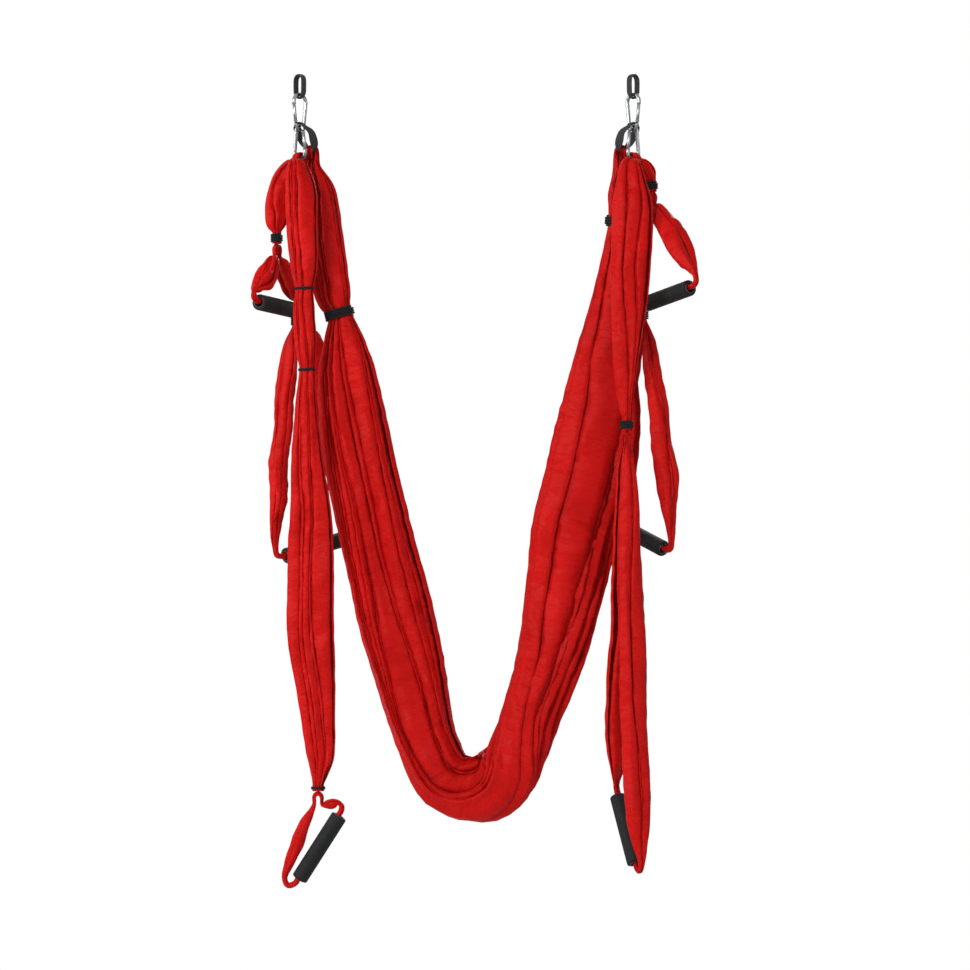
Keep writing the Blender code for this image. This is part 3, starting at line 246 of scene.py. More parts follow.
# Each loop's outer and inner leg from its knot down: share of the way, width in the loop's plane, width across
# it, and bow
LEGS = {
    ("short", "left"): (
        ((0.12, 0.026, 0.028, 0.000), (0.45, 0.036, 0.036, -0.010), (0.84, 0.030, 0.038, -0.015)),
        ((0.12, 0.026, 0.026, 0.000), (0.45, 0.034, 0.038, 0.000), (0.84, 0.028, 0.038, -0.002)),
    ),
    ("short", "right"): (
        ((0.10, 0.032, 0.034, 0.002), (0.34, 0.046, 0.046, 0.002), (0.72, 0.040, 0.040, 0.002)),
        ((0.12, 0.018, 0.020, 0.002), (0.38, 0.024, 0.026, 0.003), (0.72, 0.022, 0.026, 0.003)),
    ),
    ("medium", "left"): (
        ((0.10, 0.026, 0.030, 0.004), (0.35, 0.035, 0.036, 0.006), (0.72, 0.036, 0.036, 0.006)),
        ((0.06, 0.044, 0.034, 0.018), (0.26, 0.060, 0.038, 0.024), (0.60, 0.048, 0.036, 0.012),
         (0.84, 0.028, 0.024, 0.004)),
    ),
    ("medium", "right"): (
        ((0.10, 0.022, 0.026, 0.004), (0.35, 0.034, 0.036, 0.006), (0.74, 0.037, 0.038, 0.006)),
        ((0.10, 0.022, 0.026, 0.004), (0.35, 0.026, 0.030, 0.006), (0.72, 0.026, 0.030, 0.006)),
    ),
    ("long", "left"): (
        ((0.30, 0.024, 0.019, 0.002), (0.72, 0.025, 0.019, 0.002)),
        ((0.30, 0.019, 0.015, 0.001), (0.70, 0.021, 0.016, 0.001)),
    ),
    ("long", "right"): (
        ((0.08, 0.022, 0.030, -0.002), (0.30, 0.032, 0.044, -0.008), (0.66, 0.034, 0.050, -0.012),
         (0.90, 0.030, 0.042, -0.006)),
        ((0.08, 0.022, 0.030, -0.002), (0.30, 0.032, 0.044, -0.008), (0.66, 0.038, 0.052, -0.010),
         (0.90, 0.034, 0.044, -0.004)),
    ),
}


# Materials

EVEN = (1, 1, 1)
COLOUR_A, COLOUR_B, COLOUR_OUT = 6, 7, 2
WAVES_PER_UNIT = 20 / (2 * math.pi)


def new_material(name):
    made = bpy.data.materials.new(name)
    made.use_nodes = True
    return made, made.node_tree


def add_node(tree, kind, wires=None, **values):
    """A node with its properties and inputs set, and wires joined to its inputs by their name or number."""
    node = tree.nodes.new(kind)
    for key, value in values.items():
        if key in node.inputs:
            node.inputs[key].default_value = value
        else:
            setattr(node, key, value)
    for key, source in (wires or {}).items():
        tree.links.new(source, node.inputs[key])
    return node


def coordinates(tree, kind):
    return tree.nodes.new("ShaderNodeTexCoord").outputs[kind]


def scaled_noise(tree, source, stretch, scale, detail=3.0, roughness=0.5, turn=0.0, **kinds):
    """Noise on stretched and turned coordinates; returns its factor's socket."""
    mapping = add_node(tree, "ShaderNodeMapping", {"Vector": source}, Scale=stretch, Rotation=(0, 0, turn))
    noise = add_node(tree, "ShaderNodeTexNoise", {"Vector": mapping.outputs["Vector"]}, Scale=scale,
                     Detail=detail, Roughness=roughness, **kinds)
    return noise.outputs["Fac"]


def spread_to(tree, socket, low, high, out_low, out_high):
    """The socket's value moved from one range to another."""
    ends = {"From Min": low, "From Max": high, "To Min": out_low, "To Max": out_high}
    return add_node(tree, "ShaderNodeMapRange", {"Value": socket}, **ends).outputs["Result"]


def multiplied(tree, first, second):
    return add_node(tree, "ShaderNodeMath", {0: first, 1: second}, operation="MULTIPLY").outputs["Value"]


def blend_colours(tree, socket, first, second):
    node = add_node(tree, "ShaderNodeMix", {0: socket}, data_type="RGBA")
    node.inputs[COLOUR_A].default_value = (*first, 1)
    node.inputs[COLOUR_B].default_value = (*second, 1)
    return node.outputs[COLOUR_OUT]


def bumped(tree, height, distance, strength, under=None):
    wires = {"Height": height} if under is None else {"Height": height, "Normal": under}
    return add_node(tree, "ShaderNodeBump", wires, Distance=distance, Strength=strength).outputs["Normal"]


def weave(tree, source, across, along):
    """Two crossed waves on the piece's own UV map, like warp and weft, in threads per metre."""
    waves = [add_node(tree, "ShaderNodeTexWave", {"Vector": source}, bands_direction=direction,
                      wave_profile="SIN", Scale=count / WAVES_PER_UNIT, Distortion=0.0).outputs["Fac"]
             for direction, count in (("X", across), ("Y", along))]
    return multiplied(tree, *waves)


def finished(made, tree, colour, roughness, normal, levels=()):
    """Joins colour, roughness and relief to the material's shader and sets that shader's own constants."""
    shader = tree.nodes["Principled BSDF"]
    for key, source in (("Base Color", colour), ("Roughness", roughness), ("Normal", normal)):
        tree.links.new(source, shader.inputs[key])
    for key, value in levels:
        shader.inputs[key].default_value = value
    return made


def red_cloth():
    """Thin knitted nylon: satin sheen, long soft creases, slanted crinkles and a very fine knit."""
    made, tree = new_material("red_nylon_cloth")
    uv, place = coordinates(tree, "UV"), coordinates(tree, "Object")
    cloudy = scaled_noise(tree, place, EVEN, scale=11.0, detail=4.0, roughness=0.6)
    lengthwise = scaled_noise(tree, uv, stretch=(1, 0.14, 1), scale=55.0, detail=4.0, roughness=0.55)
    crosswise = scaled_noise(tree, uv, EVEN, scale=30.0, detail=3.5)
    streaks = spread_to(tree, lengthwise, 0.25, 0.75, 0.0, 0.45)
    mixed = add_node(tree, "ShaderNodeMath", {0: cloudy, 2: streaks}, operation="MULTIPLY_ADD")
    mixed.inputs[1].default_value = 0.55
    colour = blend_colours(tree, mixed.outputs["Value"], (0.360, 0.0022, 0.0016), (0.580, 0.0062, 0.0048))
    normal = bumped(tree, lengthwise, distance=0.0016, strength=0.40)
    normal = bumped(tree, crosswise, distance=0.0110, strength=1.0, under=normal)
    for turn, scale, depth in ((0.45, 11.0, 0.0420), (-0.75, 27.0, 0.0170)):
        crinkle = scaled_noise(tree, uv, (1, 0.40, 1), scale, turn=turn, noise_type="RIDGED_MULTIFRACTAL",
                               normalize=True)
        normal = bumped(tree, crinkle, depth, strength=1.0, under=normal)
    knit = weave(tree, uv, across=1500, along=1100)
    normal = bumped(tree, knit, distance=0.00012, strength=0.35, under=normal)
    return finished(made, tree, colour, spread_to(tree, crosswise, 0.3, 0.7, 0.44, 0.60), normal, (
        ("Sheen Weight", 0.05), ("Sheen Roughness", 0.30), ("Sheen Tint", (1.0, 0.62, 0.62, 1)),
        ("Specular IOR Level", 0.08)))


def black_webbing():
    """Coarse woven polyester: ribs across the tape, a little fuzz and faded high spots."""
    made, tree = new_material("black_woven_webbing")
    uv = coordinates(tree, "UV")
    woven = weave(tree, uv, across=900, along=620)
    worn = scaled_noise(tree, uv, EVEN, scale=160.0, detail=4.0)
    faded = spread_to(tree, multiplied(tree, woven, worn), 0.1, 0.6, 0, 1)
    colour = blend_colours(tree, faded, (0.004, 0.0043, 0.0046), (0.020, 0.021, 0.022))
    return finished(made, tree, colour, spread_to(tree, worn, 0.3, 0.7, 0.68, 0.88),
                    bumped(tree, woven, distance=0.0005, strength=0.8), (("Sheen Weight", 0.05),))


def black_cord():
    """Braided cord: crossed strands that wind round it in both directions."""
    made, tree = new_material("black_braided_cord")
    turned_uv = add_node(tree, "ShaderNodeMapping", {"Vector": coordinates(tree, "UV")},
                         Rotation=(0, 0, math.radians(45)))
    braid = weave(tree, turned_uv.outputs["Vector"], across=900, along=900)
    colour = blend_colours(tree, spread_to(tree, braid, 0.0, 0.8, 0, 1), (0.0025, 0.0030, 0.0030),
                           (0.010, 0.012, 0.012))
    return finished(made, tree, colour, spread_to(tree, braid, 0.0, 1.0, 0.90, 0.72),
                    bumped(tree, braid, distance=0.0006, strength=0.9), (("Specular IOR Level", 0.30),))


def black_foam():
    """Closed-cell foam: matt, finely pored, with shallow dents and a dusty bloom on high spots."""
    made, tree = new_material("black_foam_rubber")
    place = coordinates(tree, "Object")
    pores = scaled_noise(tree, place, EVEN, scale=1400.0, detail=2.0, roughness=0.7)
    dents = scaled_noise(tree, place, EVEN, scale=120.0)
    colour = blend_colours(tree, spread_to(tree, dents, 0.3, 0.7, 0, 1), (0.0028, 0.0031, 0.0032),
                           (0.0070, 0.0074, 0.0076))
    normal = bumped(tree, pores, distance=0.0003, strength=0.6,
                    under=bumped(tree, dents, distance=0.0012, strength=0.35))
    return finished(made, tree, colour, spread_to(tree, pores, 0.3, 0.7, 0.62, 0.88), normal,
                    (("Specular IOR Level", 0.26),))


def grey_plastic():
    """Moulded tube of dark grey plastic with a fine grain."""
    made, tree = new_material("moulded_black_plastic")
    grain = scaled_noise(tree, coordinates(tree, "Object"), EVEN, scale=600.0)
    colour = blend_colours(tree, grain, (0.014, 0.016, 0.016), (0.026, 0.029, 0.029))
    return finished(made, tree, colour, spread_to(tree, grain, 0.3, 0.7, 0.34, 0.50),
                    bumped(tree, grain, distance=0.0002, strength=0.3))


def zinc_steel():
    """Zinc-plated steel bar: fine drawing lines, faint handling marks, brighter on worn places."""
    made, tree = new_material("zinc_plated_steel")
    place = coordinates(tree, "Object")
    marks = scaled_noise(tree, place, stretch=(1, 1, 0.25), scale=420.0, detail=4.0, roughness=0.6)
    cloudy = scaled_noise(tree, place, EVEN, scale=70.0)
    colour = blend_colours(tree, cloudy, (0.13, 0.133, 0.138), (0.32, 0.325, 0.335))
    return finished(made, tree, colour, spread_to(tree, marks, 0.3, 0.7, 0.20, 0.40),
                    bumped(tree, marks, distance=0.0002, strength=0.3), (("Metallic", 1.0),))


CLOTH = red_cloth()
WEBBING = black_webbing()
CORD = black_cord()
FOAM = black_foam()
PLASTIC = grey_plastic()
STEEL = zinc_steel()


# Routes

ROUTE_STEPS = 16
LEAST_SECTIONS = 12
LEAST_LENGTH = 1e-12
LEAST_WANDER = 0.45
LEAST_RIPPLE = 0.4


def side_axes(sign):
    """Unit vectors at one hang point: along the upper carabiner's plane, inward and back, and across it."""
    yaw = math.radians(CARABINER_YAW_DEG)
    inward = Vector((-sign * math.cos(yaw), math.sin(yaw), 0))
    square = Vector((sign * math.sin(yaw), math.cos(yaw), 0))
    return inward, square


def spread(here, there):
    return math.sqrt(np.linalg.norm((there - here)[:3])) or 1


def spline(rows, steps, cyclic=False):
    """Rows of numbers joined by a centripetal Catmull-Rom curve, in so many steps from one to the next."""
    rows = np.array(rows, dtype=float)
    count = len(rows)
    made = []
    for i in range(count if cyclic else count - 1):
        if cyclic:
            a, b, c, d = (rows[(i + k) % count] for k in (-1, 0, 1, 2))
        else:
            a, b, c, d = (rows[min(max(i + k, 0), count - 1)] for k in (-1, 0, 1, 2))
        before, along, after = (spread(p, q) for p, q in ((a, b), (b, c), (c, d)))
        leave = (c - b) + along * ((b - a) / before - (c - a) / (before + along))
        arrive = (c - b) + along * ((d - c) / after - (d - b) / (along + after))
        for step in range(steps):
            t = step / steps
            bend = (t - 1) * (leave * (t - 1) + arrive * t)
            made.append(b * (1 - t) ** 2 * (1 + 2 * t) + c * t * t * (3 - 2 * t) + t * bend)
    if not cyclic:
        made.append(rows[-1])
    return np.array(made)


def row(place, width, depth, side):
    """One section of a route: its centre, its size along the side vector and across it, and that vector."""
    return (*place, width, depth, *side)


def even_rows(rows, cyclic, share, finest, coarsest):
    """The route with sections as close as its width asks; returns them, their places from 0 to 1, its length.

    Two sections lie a share of the width apart, but not closer than finest or further apart than coarsest.
    """
    fine = spline(rows, ROUTE_STEPS, cyclic)
    if cyclic:
        fine = np.vstack([fine, fine[:1]])
    steps = np.linalg.norm(np.diff(fine[:, :3], axis=0), axis=1)
    reach = np.concatenate([[0], np.cumsum(steps)])
    pitch = np.clip(fine[:, 3] * share, finest, coarsest)
    ticks = np.concatenate([[0], np.cumsum(steps / ((pitch[1:] + pitch[:-1]) / 2))])
    count = max(int(ticks[-1]), LEAST_SECTIONS)
    marks = np.interp(np.linspace(0, ticks[-1], count + 1), ticks, reach)
    if cyclic:
        marks = marks[:-1]
    even = np.stack([np.interp(marks, reach, fine[:, i]) for i in range(fine.shape[1])], axis=1)
    return even, marks / reach[-1], reach[-1]


def unit(vectors):
    return vectors / np.maximum(np.linalg.norm(vectors, axis=-1, keepdims=True), LEAST_LENGTH)


def section_axes(even, cyclic):
    """Each section's heading, side and across vectors."""
    place = even[:, :3]
    if cyclic:
        heading = np.roll(place, -1, axis=0) - np.roll(place, 1, axis=0)
    else:
        heading = np.gradient(place, axis=0)
    heading = unit(heading)
    side = even[:, 5:8]
    side = unit(side - heading * (side * heading).sum(axis=1, keepdims=True))
    return heading, side, np.cross(side, heading)


def wander(rng, count, share, waves):
    """So many smooth curves along the piece, each a sum of sines between about -1 and 1."""
    made = np.zeros((count, len(share)))
    for wave in waves:
        phase = rng.uniform(0, 2 * math.pi, (count, 1))
        size = rng.uniform(LEAST_WANDER, 1.0, (count, 1)) / math.sqrt(len(waves))
        made += size * np.sin(2 * math.pi * wave * share[None, :] + phase)
    return made


# Cloth

# A fold's shoulders, the most that one falls, and the creases beside them: shares of the bundle's half depth
SHOULDER = 0.98
SHOULDER_FALL = 0.26
CREASE = 0.62
SHOULDER_PLACES = (0.02, 0.20, 0.80, 0.98)
OVERLAP = 0.42
# Steps from one control of a fold to the next: crease, shoulder, top, shoulder
FOLD_STEPS = (2, 2, 2, 1)
# The power of the bundle's rounded outline, and its least thickness at the sides
FULLNESS = 2.6
LEAST_DEPTH = 0.004
# Each side edge's lap round the bundle: how far out, and how far to the back of the fold that it leads to
LAPPED_SIDE = ((0.93, 0.62), (0.99, 0.34), (1.0, -0.05), (0.97, -0.46))
INSIDE_LAPS = 0.87
# How the folds' widths, heights and leans differ and wander, with waves along a loop or for each metre
WIDTH_SPREAD = 0.9
WIDTH_WANDER = 0.8
TIP_BASE, TIP_GAIN, TIP_POWER, TIP_MOST, TIP_WANDER = 0.60, 0.30, 0.7, 0.97, 0.07
LEAN_WANDER = 1.5
LOOP_WAVES = (1, 2, 3, 5)
SHORT_ROUTE = 0.9
WANDER_PER_METRE = (0.3, 0.65, 1.1, 1.8)
# Where the broad panels change from even to odd folds: between a loop's legs, and in the main cloth's bend
LEG_CHANGE = 4.0
BEND_PLACE = 0.515
BEND_SHARPNESS = 46.0
TWIST_LEFT_DEG = -8.0
TWIST_GAIN_DEG = 138.0
# Ripples: how many waves, the least and most of them a metre, and how far they slant for each fold
BROAD_RELIEF, FINE_RELIEF = (7, (1.5, 9.0), 0.16), (9, (14.0, 42.0), 0.5)
BROAD_SWAY, FINE_SWAY = (6, (1.2, 7.0), 0.6), (8, (12.0, 34.0), 0.4)
# The ripples' heights, as shares of the crumple and at most as shares of the bundle's lesser size
BROAD_HEIGHT, FINE_HEIGHT = (1.8, 0.07), (0.6, 0.03)
SWAY_BROAD_SHARE = 0.8
SWAY_FINE_SHARE = 0.5
# Sheet thickness, and its most as a share of a fold's width
MAIN_SHEET = 0.0010
STRAP_SHEET = 0.0008
SHEET_MOST = 0.25
# Sections along a route: their distance as a share of its width, and the least and the most
MAIN_SECTIONS = (0.12, 0.0036, 0.0128)
STRAP_SECTIONS = (0.10, 0.0022, 0.010)
LOOP_SECTIONS = (0.17, 0.0022, 0.007)
MAIN_CRUMPLE = 0.0024
STRAP_CRUMPLE = 0.0016
# Folds in each bundle, and how much broader the front panels are than the rest
MAIN_FOLDS, OUTER_FOLDS, LONG_FOLDS, LOOP_FOLDS = 24, 8, 10, 6
MAIN_BREADTH = 12.0
STRAP_BREADTH = 7.0


def mesh_piece(name, vertices, faces, uv, look):
    """A smooth mesh object from arrays of corners, quads and the UV places of corners or of faces' corners."""
    if uv.ndim == 2:
        uv = uv[faces.ravel()]
    mesh = bpy.data.meshes.new(name)
    mesh.vertices.add(len(vertices))
    mesh.vertices.foreach_set("co", np.ascontiguousarray(vertices, dtype=np.float32).ravel())
    mesh.loops.add(faces.size)
    mesh.loops.foreach_set("vertex_index", faces.astype(np.int32).ravel())
    mesh.polygons.add(len(faces))
    mesh.polygons.foreach_set("loop_start", np.arange(0, faces.size, 4, dtype=np.int32))
    mesh.update(calc_edges=True)
    layer = mesh.uv_layers.new(name="UVMap")
    layer.data.foreach_set("uv", uv.astype(np.float32).ravel())
    mesh.validate()
    mesh.polygons.foreach_set("use_smooth", np.full(len(mesh.polygons), True))
    mesh.materials.append(look)
    return placed(name, mesh)


def placed(name, data):
    thing = bpy.data.objects.new(name, data)
    bpy.context.scene.collection.objects.link(thing)
    return thing


def eased_columns(table, parts):
    """Columns of controls joined by smooth curves; parts says how many steps each kind of stretch gets."""
    ends = np.concatenate([2 * table[:1] - table[1:2], table, 2 * table[-1:] - table[-2:-1]])
    made = []
    for i in range(len(table) - 1):
        a, b, c, d = ends[i:i + 4]
        steps = parts[i % len(parts)]
        for k in range(steps):
            t = k / steps
            made.append(0.5 * (2 * b + (c - a) * t + (2 * a - 5 * b + 4 * c - d) * t ** 2
                               + (3 * b - a - 3 * c + d) * t ** 3))
    made.append(table[-1])
    return np.array(made)


def ripples(rng, columns, along, length, cyclic, count, runs, slant):
    """Creases that run slantwise over the sheet: a sum of waves, so many a metre, about -1 to 1."""
    over_all = np.linspace(0, 1, columns)[:, None]
    field = np.zeros((columns, len(along)))
    for _ in range(count):
        run = rng.uniform(*runs) * length
        if cyclic:
            run = max(round(run), 1)
        over = rng.uniform(-slant, slant)
        phase = rng.uniform(0, 2 * math.pi)
        size = rng.uniform(LEAST_RIPPLE, 1) / math.sqrt(count)
        field += size * np.sin(2 * math.pi * (run * along[None, :] + over * over_all) + phase)
    return field


def bend_twist(along):
    """The cloth turns over in the bend: the left arm's outside comes round to the right arm's inside."""
    return np.radians(TWIST_LEFT_DEG + TWIST_GAIN_DEG / (1 + np.exp((BEND_PLACE - along) * BEND_SHARPNESS)))


def odd_share(along, cyclic, twisted):
    """For each section, 0 where the even folds have the broad panels and 1 where the odd ones have them."""
    if cyclic:
        return np.clip(0.5 + LEG_CHANGE * np.sin(2 * math.pi * along), 0, 1)
    if twisted:
        return np.clip((along - BEND_PLACE) * BEND_SHARPNESS / 2 + 0.5, 0, 1)
    return np.zeros(len(along))


def fold_columns(rng, pleats, along, waves, odd, breadth, group):
    """The sheet's way through the bundle, from side to side and front to back: shares of its half sizes."""
    widths = np.exp(rng.uniform(-WIDTH_SPREAD, WIDTH_SPREAD, (pleats, 1))
                    + WIDTH_WANDER * wander(rng, pleats, along, waves))
    widths[::2 * group] *= 1 + (breadth - 1) * (1 - odd)
    widths[1::2 * group] *= 1 + (breadth - 1) * odd
    edges = np.concatenate([np.zeros((1, len(along))), np.cumsum(widths, axis=0)])
    edges = (2 * edges / edges[-1] - 1) * INSIDE_LAPS
    spans = np.diff(edges, axis=0)
    tips = np.clip(TIP_BASE + TIP_GAIN * (widths / widths.mean(axis=0)) ** TIP_POWER, 0, TIP_MOST)
    tips += TIP_WANDER * wander(rng, pleats, along, waves)
    lean = np.clip(LEAN_WANDER * wander(rng, pleats, along, waves), -1, 1)
    sweep, swing = [], []

    def control(place, height):
        sweep.append(np.broadcast_to(place, len(along)))
        swing.append(np.broadcast_to(height, len(along)))

    for part, height in LAPPED_SIDE:
        control(-part, height)
    for fold in range(pleats):
        way = -1 if fold % 2 == 0 else 1
        left = edges[fold] - (OVERLAP * spans[fold - 1] if fold else 0)
        right = edges[fold + 1] + (OVERLAP * spans[fold + 1] if fold < pleats - 1 else 0)
        first = SHOULDER - SHOULDER_FALL * np.maximum(lean[fold], 0)
        last = SHOULDER + SHOULDER_FALL * np.minimum(lean[fold], 0)
        for part, height in zip(SHOULDER_PLACES, (CREASE, first, last, CREASE)):
            control(left + (right - left) * part, way * height * tips[fold])
    last_way = 1 if pleats % 2 == 0 else -1
    for part, height in reversed(LAPPED_SIDE):
        control(part, -last_way * height)
    p = np.clip(eased_columns(np.array(sweep), FOLD_STEPS), -1, 1)
    q = eased_columns(np.array(swing), FOLD_STEPS)
    return p, q * np.maximum(1 - np.abs(p) ** FULLNESS, LEAST_DEPTH) ** (1 / FULLNESS)


def pleated(name, rows, pleats, seed, thickness=STRAP_SHEET, sections=STRAP_SECTIONS, crumple=STRAP_CRUMPLE,
            breadth=STRAP_BREADTH, group=2, cyclic=False, twist=None):
    """A sheet of cloth gathered into long folds along a route, as one closed thin skin.

    The sheet goes back and forth through the bundle, fold beside fold, while it works its way from one side
    to the other. Each fold is a soft pillow that nearly meets the next one, and what joins them lies hidden
    inside. The folds' widths and heights wander along the route, and at the front one fold in each group is a
    broad panel. The sheet's two side edges lap round the bundle's sides. In a loop, which is cyclic, the folds
    lie side by side through the section's depth and not over its width. Twist turns the bundle, in radians.
    """
    rng = np.random.default_rng(seed)
    even, along, length = even_rows(rows, cyclic, *sections)
    _, side, across = section_axes(even, cyclic)
    size_p, size_q = even[:, 3], even[:, 4]
    if cyclic:
        size_p, size_q = size_q, size_p
        side, across = across, side
    count = len(even)
    waves = LOOP_WAVES if cyclic else [max(length, SHORT_ROUTE) * turns for turns in WANDER_PER_METRE]
    odd = odd_share(along, cyclic, twist is not None)
    p, q = fold_columns(rng, pleats, along, waves, odd, breadth, group)
    columns = len(p)
    if twist is not None:
        turn = twist(along)[None, :]
        p, q = p * np.cos(turn) - q * np.sin(turn), p * np.sin(turn) + q * np.cos(turn)
    small = np.minimum(size_p, size_q)[None, :]
    broad, fine = (np.minimum(share * crumple, most * small) for share, most in (BROAD_HEIGHT, FINE_HEIGHT))

    def rippled(kind, folds):
        waves, runs, slant = kind
        return ripples(rng, columns, along, length, cyclic, waves, runs, folds * slant)

    relief = broad * rippled(BROAD_RELIEF, pleats) + fine * rippled(FINE_RELIEF, pleats)
    sway = SWAY_BROAD_SHARE * broad * rippled(BROAD_SWAY, 1)
    sway += SWAY_FINE_SHARE * fine * rippled(FINE_SWAY, pleats)
    u = p * size_p[None, :] / 2 + sway
    v = q * size_q[None, :] / 2 + relief
    place = even[None, :, :3] + u[..., None] * side[None] + v[..., None] * across[None]
    if cyclic:
        forward = np.roll(place, -1, axis=1) - np.roll(place, 1, axis=1)
    else:
        forward = np.gradient(place, axis=1)
    normal = unit(np.cross(np.gradient(place, axis=0), forward))
    half = np.minimum(thickness, SHEET_MOST * size_p / pleats)[None, :, None] / 2
    vertices = np.concatenate([(place + way * normal * half).reshape(-1, 3) for way in (1, -1)])
    faces = sheet_faces(columns, count, cyclic)
    # The sheet's own map, in metres: across its cut width and along its length
    steps = np.linalg.norm(np.diff(place, axis=0), axis=2).mean(axis=1)
    developed = np.concatenate([[0], np.cumsum(steps)])
    corner_uv = np.stack([np.tile(np.repeat(developed, count), 2), np.tile(along * length, 2 * columns)], -1)
    uv = corner_uv[faces.ravel()].reshape(-1, 4, 2)
    if cyclic:
        wrapped = np.ptp(uv[..., 1], axis=1) > length / 2
        uv[wrapped, :, 1] += np.where(uv[wrapped, :, 1] < length / 2, length, 0)
    print(f"CLOTH {name}: length {length:.3f} m, developed width {developed[-1]:.3f} m, quads {len(faces)}")
    return mesh_piece(name, vertices, faces, uv, CLOTH)


def sheet_faces(columns, count, cyclic):
    """Quads of both sides of a sheet and of the rims that close it."""
    grid = np.arange(columns * count).reshape(columns, count)
    below = columns * count
    if cyclic:
        here, ahead = grid, np.roll(grid, -1, axis=1)
    else:
        here, ahead = grid[:, :-1], grid[:, 1:]
    front = np.stack([here[:-1], here[1:], ahead[1:], ahead[:-1]], axis=-1).reshape(-1, 4)
    parts = [front, front[:, ::-1] + below]

    def rim(first, second, flip):
        quads = np.stack([first, first + below, second + below, second], axis=-1)
        parts.append(quads[:, ::-1] if flip else quads)

    rim(here[0], ahead[0], True)
    rim(here[-1], ahead[-1], False)
    if not cyclic:
        rim(grid[:-1, 0], grid[1:, 0], False)
        rim(grid[:-1, -1], grid[1:, -1], True)
    return np.concatenate(parts)


def hook_rows(bar, outward, radius, tail, width, depth, side):
    """Sections of cloth that hangs over a bar: up the tail, over the bar, down on the outward side."""
    rows = [row(bar - outward * radius - UP * tail, width, depth, side)]
    for degrees in (180, 135, 90, 45, 0):
        angle = math.radians(degrees)
        place = bar + outward * (radius * math.cos(angle)) + UP * (radius * math.sin(angle))
        rows.append(row(place, width, depth, side))
    return rows


def cloth_place(shares):
    return Vector((HALF_SPAN * shares[0], CLOTH_SETBACK, SLING_BOTTOM_Z - CLOTH_DROP * shares[1]))


def main_rows():
    """Sections of the main cloth: over the left sling, down, through the U and up over the right sling."""
    radius = SLING_BIGHT_WIDTH / 2 + TOUCH_GAP + CLOTH_NECK_DEPTH / 2
    ends = []
    for _, sign in SIDES:
        inward, square = side_axes(sign)
        bight = Vector((sign * HALF_SPAN, 0, SLING_BOTTOM_Z)) + inward * SLING_REACH
        ends.append(hook_rows(bight, inward, radius, CLOTH_TAIL, CLOTH_NECK_WIDTH, CLOTH_NECK_DEPTH, -square))
    rows = ends[0]
    places = [cloth_place(shares) for shares in CLOTH_SHARES]
    last = len(places) - 1
    for i, shares in enumerate(CLOTH_SHARES):
        heading = places[min(i + 1, last)] - places[max(i - 1, 0)]
        side = Vector((-heading.z, 0, heading.x)).normalized()
        rows.append(row(places[i], CLOTH_WIDTH * shares[2], CLOTH_DEPTH * shares[3], side))
    return rows + list(reversed(ends[1]))


def strap_rows(start, shift, front, drop, table):
    """Sections down a strap, from shares of its shift, front offset, drop, width and depth."""
    rows = []
    for across, forward, down, width, depth in table:
        place = start + Vector((shift * across, -front * forward, -drop * down))
        rows.append(row(place, STRAP_WIDTH * width, STRAP_DEPTH * depth, (1, 0, 0)))
    return rows


def gathered_end(start, shift, front, drop, gather, end):
    """Two alike sections at a strap's lower end, where a cord winding draws it in."""
    shares = end[0] / STRAP_WIDTH, end[1] / STRAP_DEPTH
    return strap_rows(start, shift, front, drop, ((1, 1, 1 - gather / drop, *shares), (1, 1, 1, *shares)))


def hung_rows(sign, radius, shift, front, drop, table, end, gather):
    """A strap folded over the lower carabiner's bar and let down to its first cord band."""
    inward, square = side_axes(sign)
    bar = Vector((sign * HALF_SPAN, 0, LOWER_BOTTOM_Z))
    facing = square if square.x > 0 else -square
    rows = hook_rows(bar, -inward, radius, STRAP_TAIL, STRAP_NECK_WIDTH, STRAP_NECK_DEPTH, facing)
    rows += strap_rows(bar, shift, front, drop, table)
    return rows + gathered_end(bar, shift, front, drop, gather, end)


